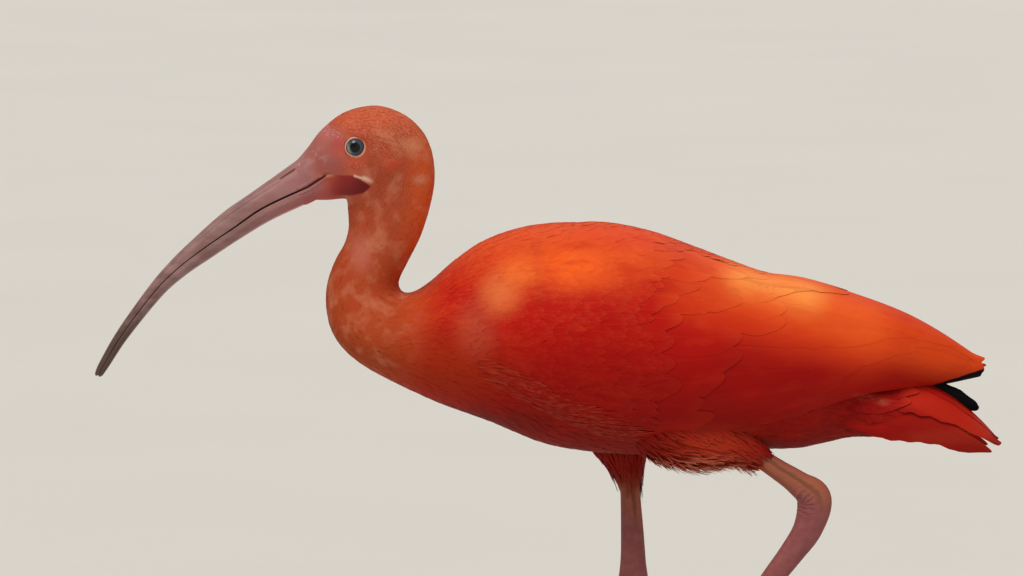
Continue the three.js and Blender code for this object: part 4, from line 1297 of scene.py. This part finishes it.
def makeThighCoat(side, material, body):
    path = [*thighPaths[side], thighCoat["ends"][side]]
    place = limbPlace(path)
    last = len(path) - 1

    def keep(points):
        hits = [body.find_nearest(Vector(point)) for point in points]
        heights = [(Vector(point) - hit[0]).dot(hit[1]) for point, hit in zip(points, hits)]
        return np.array(heights) > -thighCoat["sunk"]

    def unwrap(at, angle):
        margin = 0.05
        return margin + (1 - 2 * margin) * at / last, (angle % turn) / turn

    ends, seed = (thighCoat["start"], last), seeds["thighRoots"]
    s, a = scatter(place, ends, (0, turn), thighCoat["spacing"], seed, keep)[:2]
    edge = last - thighCoat["stop"][side] - thighCoat["slant"] * np.cos(a)
    beyond = (s - edge + thighCoat["thinning"]["before"]) / thighCoat["thinning"]["over"]
    kept = np.random.default_rng(seeds["thighEnd"]).uniform(size=len(s)) > beyond
    s, a = s[kept], a[kept]
    trim = np.clip(thighCoat["longest"] - (s / last) ** 2, thighCoat["shortest"], 1)
    seed = seeds["thighLook"] + side
    batches = [layTufts(place, slimTuft, s, a, thighCoat["look"], seed, unwrap, trim)]
    if side == left:
        # Longer hairs hang from the lower edge of the lifted thigh
        fringe = thighCoat["fringe"]
        angles, seed = (-fringe["reach"], fringe["reach"]), seeds["fringeRoots"]
        s, a = scatter(place, fringe["rows"], angles, fringe["spacing"], seed, keep)[:2]
        batches.append(layTufts(place, slimTuft, s, a, fringe, seeds["fringeLook"], unwrap))
    coatPiece(f"coat_thigh_{sideNames[side]}", batches, material)


def makeEye(side, material):
    centre = np.array([eye["centre"][0], side * eye["centre"][1], eye["centre"][2]])
    polar = (np.arange(eye["rings"]) + 0.5) * math.pi / eye["rings"]
    spin = np.arange(eye["around"]) * turn / eye["around"]
    tilt, angle = np.meshgrid(polar, spin, indexing="ij")
    bulge = 1 + eye["bulge"] / eye["radius"] * np.clip(1 - (tilt / eye["cornea"]) ** 2, 0, 1)
    ball = np.stack([np.sin(tilt) * np.cos(angle), side * np.cos(tilt), np.sin(tilt) * np.sin(angle)], -1)
    points, faces = closedLoft(centre + ball * eye["radius"] * bulge[..., None])
    piece = newPiece(f"eyeball_{sideNames[side]}", points, faces, "eye_gloss", material)
    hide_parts(f"eye_{sideNames[side]}")


# The bill, station by station: [culmen x, z, mouth x, z, chin x, z, half width]
billStations = [
    [-115.6, 296.8, -110.9, 284.4, -107.2, 277.9, 7.4],
    [-136.5, 281.9, -131.6, 274.6, -127.4, 268.7, 6.2],
    [-150.4, 272.2, -145.5, 265.1, -142.2, 259.9, 5.3],
    [-164.0, 260.2, -159.9, 255.2, -155.7, 251.0, 4.6],
    [-175.3, 249.2, -172.0, 245.8, -168.3, 242.4, 4.1],
    [-185.6, 237.2, -182.9, 234.9, -179.5, 232.5, 3.7],
    [-200.3, 216.6, -198.1, 214.9, -195.5, 212.9, 3.3],
    [-209.3, 200.9, -207.0, 200.1, -204.6, 199.3, 3.2],
    [-211.5, 195.2, -209.8, 194.7, -208.2, 194.2, 2.3],
]
# Half outlines of the mandibles: [share of the half width, share of the depth from the mouth].
# Below 0 stands for the ridge inside the lower one, which closes the slit of the mouth.
upperOutline = [[0.96, 0.0], [1.0, 0.25], [0.96, 0.5], [0.84, 0.68], [0.83, 0.75], [0.58, 0.92], [0, 1]]
lowerOutline = [[0, -1], [0.7, -1], [0.74, 0.0], [0.94, 0.0], [0.92, 0.35], [0.6, 0.84], [0, 1]]
billMesh = {
    "rings": 150,
    "steps": 5,  # points between one corner of an outline and the next
    "root": {"reach": 0.35, "width": 0.97, "size": 0.8},
    "tip": {"reach": 0.4, "blunt": 0.93},
    "gap": [[0, 0.9], [1, 1.0], [2.5, 0.6], [5, 0.4], [8, 0.15]],  # between the mandibles, by station
    "ridge": 1.1,  # how much of the gap the ridge inside the lower one fills
    "nostril": {"station": 0.28, "reach": 0.26, "height": 0.76, "width": 0.05, "depth": 0.9},
}


def makeMandible(name, column, outline, material):
    root, tip = billMesh["root"], billMesh["tip"]
    at = np.linspace(0, len(billStations) - 1, billMesh["rings"])
    row = smoothRead(billStations, at)
    inside = row[0] + (row[0] - row[10]) * root["reach"]
    inside[6] = row[0, 6] * root["width"]
    row = np.concatenate([[inside], row])
    at = np.concatenate([[0], at])
    mouthLine = np.stack([row[:, 2], row[:, 2] * 0, row[:, 3]], -1)
    edge = np.stack([row[:, column], row[:, 2] * 0, row[:, column + 1]], -1) - mouthLine
    depth = np.linalg.norm(edge, axis=-1)[:, None]
    edge = unit(edge)
    last = len(outline) - 1
    spots = [np.linspace(i, i + 1, billMesh["steps"] + 1)[:-1] for i in range(last)]
    spots = np.concatenate([*spots, [last]])
    half = np.array([np.interp(spots, range(last + 1), np.array(outline)[:, i]) for i in (0, 1)]).T
    if column == 0:
        half = smoothRead(outline, spots)
    mirror = half[-2::-1] if half[0, 0] > 0 else half[-2:0:-1]
    full = np.concatenate([half, mirror * [-1, 1]])
    across, share = full[None, :, 0], full[None, :, 1]
    gap = tableRead(billMesh["gap"], at)
    wide = across * row[:, 6:7]
    if column == 0:
        nostril = billMesh["nostril"]
        pit = fall(at[:, None] - nostril["station"], nostril["reach"])
        pit = pit * fall(share - nostril["height"], nostril["width"])
        wide = wide - np.sign(wide) * nostril["depth"] * pit
    deep = gap / 2 + np.maximum(share, 0) * (depth - gap / 2) + np.minimum(share, 0) * gap * billMesh["ridge"]
    rings = mouthLine[:, None] + edge[:, None] * deep[..., None]
    rings[..., 1] += wide
    near = np.clip((at - len(billStations) + 1 + tip["reach"]) / tip["reach"], 0, 1)
    size = np.sqrt(1 - tip["blunt"] * near**2)
    size[0] = root["size"]
    middle = rings.mean(1, keepdims=True)
    points, faces = closedLoft(middle + (rings - middle) * size[:, None, None])
    # 1 on the faces inside the mouth, and 0 at the loft's two end points
    inner = np.repeat(((share < 0.005) & (np.abs(across) < 0.9)).astype(float), len(rings), 0).ravel()
    inner = np.concatenate([inner, [0, 0]])
    piece = newPiece(name + "_horn", points, faces, "bill_horn", material, values={"inner": inner})
    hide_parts(name)


clawForm = {"rings": 24, "around": 14, "root": 0.35, "deep": 1.15, "sizes": [0.4, 0.46, 0.34, 0.1]}


def makeClaws(material):
    for side in (left, right):
        for name, toe in toes.items():
            line = toeLine(side, name)
            count = len(toe["bones"])
            back = line[count] + (line[count - 1] - line[count]) * clawForm["root"]
            path = []
            for point, share in zip([back, *line[count:]], clawForm["sizes"]):
                path.append([*point, toe["thick"] * share * clawForm["deep"], toe["thick"] * share])
            points, faces = wholeLimb(path, clawForm["rings"], clawForm["around"])
            points[:, 2] = np.maximum(points[:, 2], 0)
            word = f"{sideNames[side]}_{name}"
            piece = newPiece(f"nail_{word}", points, faces, "claw_horn", material)
            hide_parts(f"claw_{word}")


# Finishes
# The body's colours from the belly up, partly its own and partly painted shade below and painted light above:
# [start z, end z, colour]
bodyHeights = [
    [160.0, 196.0, "9a0e0b"],
    [198.0, 230.0, "b8160d"],
    [234.0, 262.0, "dc4c1e"],
]
# Soft areas of colour on the body: [x, z, reach along x, reach along z, strength, colour]
bodyAreas = [
    [-52, 202, 52, 34, 0.85, "a42c10"],
    [-76, 228, 32, 32, 0.85, "a83a18"],
    # The next two darken the low belly: partly its own deep red, partly painted shade
    [-28, 176, 46, 14, 0.8, "6e140c"],
    [20, 166, 60, 14, 0.6, "7a160e"],
    [-32, 222, 15, 20, 0.7, "b84c34"],
    [-21, 238, 15, 15, 0.75, "e2763f"],
    [44, 262, 40, 8, 0.5, "d8381a"],
    [30, 218, 60, 26, 0.55, "a00c08"],
    [84, 237, 44, 12, 0.6, "d24216"],
    [78, 166, 32, 14, 0.75, "b8361e"],
    [186, 168, 26, 7, 0.6, "9a2a1a"],
    [150, 196, 38, 12, 0.5, "a8140c"],
]
# Painted patches of sunlight on the shoulder and back, broken up feather by feather
paintedSunPatches = [
    [-12, 248, 16, 11, 0.8, "f4762f"],
    [12, 250, 28, 15, 0.95, "f8641e"],
]
# Long bands of colour, the last a thin painted shadow line down the shoulder: [start, end, width, how far it
# fades, strength, colour]
bodyBands = [
    [(70, 240), (150, 214), 6, 22, 0.75, "d23c16"],
    [(96, 242), (196, 204), 5, 20, 0.72, "e04e18"],
    [(172, 187), (206, 171), 2, 8, 0.7, "bc2a16"],
    # A thin painted shadow line between the patches of painted sunlight
    [(-4, 259), (-3, 236), 0.5, 4, 0.3, "a82a14"],
]
# Painted sunlight over the rear of the wing, a soft highlight in streaks: [start, end, reach, streakiness,
# least strength, strength, colour]
paintedSunlight = [
    [(86.0, 250.0), (148.0, 228.0), 23.0, 0.7, 0.4, 0.68, "f2682a"],
    [(94.0, 247.0), (122.0, 238.0), 17.0, 1.4, 0.05, 0.95, "fda24c"],
]
headAreas = [
    [-106, 304, 13, 12, 0.8, "a4645e"],
    [-101, 309, 11, 8, 0.75, "b4645e"],
    [-101, 296, 14, 12, 0.85, "9a5550"],
    [-96, 304, 6, 8, 0.75, "b8504a"],
    [-89, 295, 9, 5, 0.7, "b84c38"],
    [-108, 284, 12, 7, 0.8, "aa5c56"],
    [-104, 283, 10, 7, 0.85, "b2544e"],
    [-97, 283, 9, 6, 0.7, "a43e3a"],
    [-88, 311, 9, 3, 0.5, "c04a38"],
    [-71, 296, 6, 5, 0.6, "c0402a"],
    [-63, 305, 9, 5, 0.45, "cc8a64"],
    [-58, 288, 6, 4, 0.45, "d09478"],
    [-86, 254, 8, 14, 0.45, "c87a68"],
]


def markings(paint):
    # The bird's own colours by place, for its skin and its coat alike
    big = paint.noise(34, 2.0)
    mid = paint.noise(8, 2.0)
    streak = paint.noise(9, 3.0, 0.55, (0.3, 1.0, 1.0))
    up = paint.z + (big - 0.5) * 26.0
    colour = "82110c"
    # Colours by height: partly the plumage's own, partly painted shade on the belly and painted light on the
    # back
    for start, end, code in bodyHeights:
        colour = paint.blend(up.ramp(start, end), colour, code)
    for x, z, reachX, reachZ, strength, code in bodyAreas:
        colour = paint.blend(paint.near(x, z, reachX, reachZ, 0.95) * strength, colour, code)
    for start, end, width, soft, strength, code in bodyBands:
        mask = paint.line(start, end, width, soft) * (0.4 + streak)
        colour = paint.blend(mask * strength, colour, code)
    # Painted patches of sunlight, broken up by the feathers' tints and the streaks
    broken = paint.value("tint").ramp(0.15, 0.8) * 0.45 + 0.3 + streak * 0.5
    for x, z, reachX, reachZ, strength, code in paintedSunPatches:
        colour = paint.blend(paint.near(x, z, reachX, reachZ, 0.95) * broken * strength, colour, code)
    # Painted sunlight over the rear of the wing, fainter near the back's middle
    flanks = paint.y.size().ramp(0.0, 22.0) * 0.7 + 0.3
    for start, end, reach, streaky, least, strength, code in paintedSunlight:
        sunlight = paint.line(start, end, 0.0, reach) * flanks * (streak * streaky + least)
        colour = paint.blend(sunlight * strength, colour, code)
    # The upper body, where the orange streaks and the feathers' tones are stronger, partly as painted light
    # from above
    bright = up.ramp(208.0, 246.0)
    colour = paint.blend(streak.ramp(0.52, 0.72) * 0.35, colour, "b81a0c")
    colour = paint.blend(streak.ramp(0.46, 0.3) * (bright * 0.22 + 0.04), colour, "ee5a24")
    neck = (paint.x - (paint.z - 240.0) * 0.25 + (mid - 0.5) * 10.0).ramp(-42.0, -74.0)
    throat = paint.blend(paint.z.ramp(225.0, 290.0), "aa4420", "a84a30")
    nape = (paint.x - (paint.z - 250.0).size() * 0.1).ramp(-74.0, -58.0)
    throat = paint.blend(nape * 0.85, throat, "d25a28")
    throat = paint.blend(mid.ramp(0.45, 0.72) * 0.42, throat, "cc8262")
    throat = paint.blend(paint.noise(5, 2.0).ramp(0.5, 0.75) * 0.45, throat, "ae4028")
    throat = paint.blend((paint.z - 311.0 + (mid - 0.5) * 8.0).ramp(-3.0, 6.0) * 0.75, throat, "c85636")
    for x, z, reachX, reachZ, strength, code in headAreas:
        throat = paint.blend(paint.near(x, z, reachX, reachZ, 0.9) * strength, throat, code)
    lead = paint.x + 111.4 + (paint.z - 287.3) * 0.444 + (mid - 0.5) * 4.0
    throat = paint.blend(lead.ramp(11.0, 1.0) * paint.z.ramp(270.0, 276.0), throat, hornColour(paint))
    return paint.blend(neck, colour, throat), mid, neck, (1.0 - neck) * (bright * 0.7 + 0.3)


def capLine(paint):
    # The pale wedge over the rear end of the naked jaw, pointed in front
    wedge = paint.line((-88.8, 290.3), (-82.0, 288.4), 0.0, 1.0)
    wedge = wedge.most(paint.line((-84.5, 289.3), (-80.8, 287.9), 0.0, 1.9))
    return wedge * paint.x.ramp(-78.2, -84.0)


def hornColour(paint):
    # The bill's own colours, which also run back over the skin at its root
    streak = paint.noise(3, 3.0, 0.5, (0.25, 1.0, 0.6))
    colour = paint.blend(streak.ramp(0.3, 0.7), "845e5a", "9a7472")
    colour = paint.blend((paint.z + (streak - 0.5) * 40.0).ramp(252.0, 205.0) * 0.95, colour, "503c30")
    colour = paint.blend(paint.x.ramp(-150.0, -112.0) * 0.7, colour, "a66a68")
    keel = (paint.z - 284.0 - (paint.x + 110.0) * 0.62).ramp(0.0, -8.0) * paint.x.ramp(-170.0, -125.0)
    return paint.blend(keel * 0.75, colour, "b44e4c")


def plumageFinish(name):
    paint = Finish(name, Roughness=0.62, Specular_IOR_Level=0.06)
    colour, mid, neck, body = markings(paint)
    along = paint.value("along")
    tint = paint.value("tint")
    dark = paint.value("dark")
    colour = paint.blend(tint.ramp(0.55, 1.0) * body * 0.22, colour, "960f0a")
    colour = paint.blend(tint.ramp(0.45, 0.0) * body * 0.16, colour, "f0561e")
    colour = paint.blend(along.ramp(0.8, 1.0) * body * 0.05, colour, "ff8a4a")
    across, length, _ = paint.split(paint.node("ShaderNodeUVMap", {"uv_map": "vane"}, {}, "UV"))
    colour = paint.blend(across.size().ramp(0.3, 0.0) * body * 0.05, colour, "ff9a6a")
    crown = along.ramp(0.5, 0.95) * tint * neck * paint.z.ramp(292.0, 308.0)
    colour = paint.blend(crown * 0.4, colour, "e49a76")
    fringe = along.ramp(0.5, 1.0) * paint.near(72, 153, 36, 12, 0.7) * paint.y.ramp(-8.0, -16.0)
    colour = paint.blend(fringe * 0.6, colour, "dc8a68")
    shin = paint.z.ramp(150.0, 134.0) * (paint.x - 41.0).size().ramp(24.0, 18.0)
    colour = paint.blend(shin * 0.85, colour, "8a4634")
    flank = dark.ramp(-0.5, -1.0) * tint.ramp(0.3, 0.9) * along.ramp(0.2, 0.9)
    colour = paint.blend(flank * 0.34, colour, "b44e36")
    pale = paint.line((143.0, 188.5), (172.0, 180.5), 0.0, 2.6)
    pale = pale * paint.x.ramp(172.0, 158.0) * paint.x.ramp(141.0, 152.0)
    wisp = paint.noise(2.2, 3.0, 0.6, (0.2, 1.0, 1.0)).ramp(0.36, 0.62)
    colour = paint.blend(pale * wisp * 0.34, colour, "cc7a60")
    colour = paint.blend(capLine(paint) * 0.5, colour, "d8a488")
    ink = (193.0 + (paint.x - 188.0) * 0.32 - paint.z + mid * 1.2).ramp(0.0, 0.8) * paint.x.ramp(176.0, 179.5)
    blackTip = dark.ramp(0.5, 1.0) * ink
    blackTip = blackTip.most(dark.ramp(1.5, 2.0) * (paint.x + mid * 4.0).ramp(168.0, 174.0))
    colour = paint.blend(blackTip, colour, "0a090b")
    paint.set("Base Color", colour)
    barbs = ((length - across.size() * 0.8) * 9.0).wave()
    paint.bump(barbs, 0.02, 0.4)
    return paint.material


def skinFinish():
    paint = Finish("skin", Roughness=0.55, Specular_IOR_Level=0.14)
    plume, mid = markings(paint)[:2]
    along, front, bare = (paint.value(name) for name in ("limbAlong", "limbFront", "bare"))
    patch = paint.noise(4, 3.0)
    leg = paint.blend(patch.ramp(0.3, 0.75), "864a4a", "925452")
    shin = (paint.z + (patch - 0.5) * 8.0 - front * 4.0 - paint.x.ramp(60.0, 90.0) * 15.0).ramp(118.0, 134.0)
    leg = paint.blend(shin * 0.8, leg, "a05a40")
    fine = paint.noise(1.5, 3.0, 0.6, (0.3, 1.0, 1.0))
    stripe = (front + 0.35 + (fine - 0.5) * 0.4).size().ramp(0.28, 0.08) * shin
    leg = paint.blend(stripe * 0.6, leg, "5c3c22")
    stripe = (front - 0.7 + (fine - 0.5) * 0.4).size().ramp(0.2, 0.05) * shin
    leg = paint.blend(stripe * 0.4, leg, "74442c")
    leg = paint.blend(paint.z.ramp(60.0, 20.0) * 0.6, leg, "a86060")
    grain = paint.noise(0.8, 2.0)
    face = plume
    above = (285.4 + (-80.6 - paint.x) * 0.58).least(290.6) - paint.z
    below = paint.z - (280.4 + (paint.x + 91.0).most(0.0) * 0.24).most(281.6 + (paint.x + 85.2) * 0.8)
    gular = above.ramp(-0.5, 0.7) * below.ramp(-0.4, 0.9) * paint.near(-91.5, 285.5, 11.2, 7.4, 0.2)
    gular = gular * (paint.x + mid * 4.0).ramp(-101.0, -91.0)
    deep = (paint.x - (paint.z - 285.0) * 0.5).ramp(-95.0, -84.0)
    face = paint.blend(gular, face, paint.blend(deep, "8c2a28", "661818"))
    specks = grain.ramp(0.55, 0.66) * paint.near(-99, 311, 10, 6, 0.8)
    face = paint.blend(specks * 0.45, face, "dcc0b8")
    specks = grain.ramp(0.56, 0.68) * paint.near(-89, 295, 7, 4, 0.8)
    face = paint.blend(specks * 0.38, face, "d8a890")
    face = paint.blend(patch.ramp(0.5, 0.65) * paint.near(-108, 298, 10, 9, 0.8) * 0.35, face, "b89490")
    gape = paint.line((-105.0, 289.4), (-98.4, 290.9), 0.0, 0.95) * paint.x.ramp(-97.8, -101.0)
    face = paint.blend(gape * 0.6, face, "d09a84")
    face = paint.blend(capLine(paint) * (0.6 + fine * 0.5), face, "e0b8a2")
    # Painted shade in the slit of the mouth
    mouthShade = paint.line((-119.0, 280.6), (-110.9, 284.5), 0.25, 0.65).most(
        paint.line((-110.9, 284.5), (-102.6, 290.0), 0.25, 0.65))
    face = paint.blend(mouthShade * 0.9, face, "4c1212")
    gone = ((paint.x - eye["centre"][0]) ** 2.0 + (paint.z - eye["centre"][2]) ** 2.0).root()
    ring = gone.ramp(5.0, 4.75) * paint.y.size().ramp(12.0, 13.5)
    face = paint.blend(ring, face, "d0987e")
    beyond = (paint.x - 98.0) * 0.8 - (paint.z - 160.0) * 0.6 + (patch - 0.5) * 5.0
    bareLeg = (beyond.ramp(-2.5, 1.5) * paint.x.ramp(86.0, 90.0)).most(paint.z.ramp(146.0, 136.0))
    colour = paint.blend(bareLeg, plume, leg)
    colour = paint.blend(bare, colour, face)
    scute = (along * (turn / 3.4)).wave().ramp(-0.9, -0.55)
    cell = paint.node("ShaderNodeTexVoronoi", {"feature": "DISTANCE_TO_EDGE"},
                      {"Vector": paint.place, "Scale": 1 / (1.3 * mm)}, "Distance").ramp(0.0, 0.12)
    onLeg = paint.z.ramp(160.0, 150.0)
    plates = front.ramp(0.2, 0.5)
    joints = (paint.near(121, 138, 11, 10, 0.7) + paint.near(40, 88, 9, 11, 0.7)) * front.ramp(-0.4, 0.3)
    folds = (along * 2.2 + patch * 9.0).wave().ramp(-0.9, 0.1)
    # Painted shade in the folds of the ankle joints
    colour = paint.blend(folds.ramp(0.5, 0.0) * joints * 0.36, colour, "5a2a2c")
    paint.set("Base Color", colour)
    height = (scute * plates + cell * (1.0 - plates)) * onLeg * 0.4 + grain * 0.45 + folds * joints * 2.2
    paint.bump(height, 0.2, 0.7)
    return paint.material


def billFinish():
    paint = Finish("billHorn", Roughness=0.4, Specular_IOR_Level=0.4)
    colour = hornColour(paint)
    # Painted shade in the slit of the nostril
    nostril = paint.line((-117.0, 292.6), (-123.6, 288.2), 0.15, 0.6)
    colour = paint.blend(nostril * 0.85, colour, "4c2020")
    # Painted shade on the faces inside the mouth
    colour = paint.blend(paint.value("inner").ramp(0.2, 0.7), colour, "3c0e10")
    paint.set("Base Color", colour)
    paint.bump(paint.noise(2.5, 3.0, 0.5, (0.25, 1.0, 0.6)), 0.12, 0.4)
    return paint.material


def eyeFinish():
    paint = Finish("eyeGloss", Roughness=0.12, Specular_IOR_Level=0.2, Coat_Weight=0.2, Coat_Roughness=0.03)
    across, up = paint.x - eye["centre"][0], paint.z - eye["centre"][2]
    gone = (across**2.0 + up**2.0).root()
    iris = paint.blend(paint.noise(0.7, 2.0), "2e3a46", "44525e")
    crescent = (across * -0.9 - up * 0.3).ramp(1.6, 3.4)
    iris = paint.blend(crescent * 0.8, iris, "9a928c")
    colour = paint.blend(gone.ramp(2.1, 2.7), "020306", iris)
    colour = paint.blend(gone.ramp(3.6, 4.1), colour, "1c2226")
    paint.set("Base Color", colour)
    return paint.material


def clawFinish():
    paint = Finish("clawHorn", Roughness=0.4)
    paint.set("Base Color", paint.blend(paint.noise(2, 3.0), "6e5048", "a08478"))
    return paint.material


def floorFinish():
    paint = Finish("floorPaint", Roughness=0.85)
    paint.set("Base Color", paint.blend(paint.noise(300, 2.0), "cfccc6", "d4d1cb"))
    return paint.material


floor = {"radius": 14, "corners": 96}  # metres


def makeFloor(material):
    # A wide flat disc, so that any camera above it sees only floor behind the bird
    bpy.ops.mesh.primitive_circle_add(vertices=floor["corners"], radius=floor["radius"], fill_type="TRIFAN")
    disc = bpy.context.object
    disc.name = "floor"
    disc.data.materials.append(material)


def fleshTree():
    points, faceSets = bodyFlesh()
    faces = [list(face) for faces in faceSets for face in faces]
    return BVHTree.FromPolygons([Vector(point) for point in points], faces)


setCamera()
setLights()
print("camera and lights set")
makeFloor(floorFinish())
plumage = plumageFinish("plumage")
skinPiece = makeSkin(skinFinish())
print("skin made:", len(skinPiece.data.polygons), "faces")
gloss = eyeFinish()
for side in (left, right):
    makeEye(side, gloss)
horn = billFinish()
makeMandible("bill_upper", 0, upperOutline, horn)
makeMandible("bill_lower", 4, lowerOutline, horn)
makeClaws(clawFinish())
print("eyes, bill and claws made")
makeBodyCoat(plumage)
flesh = fleshTree()
for side in (left, right):
    word = sideNames[side]
    makeVanes("wing_vanes", wingRows, side, wingTiers, plumage, seeds["wing"], dark=1.0, dip=2.4)
    coatPiece(f"coat_shoulder_{word}", shoulderCoverts(side), plumage)
    coatPiece(f"coat_flank_{word}", flankCoat(side), plumage, dark=-1.0)
    makeVanes("primaries", primaryRows, side, primaryTiers, plumage, seeds["primaries"], dark=2.0)
    makeVanes("tail_vanes", tailRows, side, tailTiers, plumage, seeds["tail"])
    makeVanes("vent_vanes", ventRows, side, ventTiers, plumage, seeds["vent"])
    makeThighCoat(side, plumage, flesh)
coatPiece("coat_mantle", mantleCoat(), plumage)
print("feathers made")
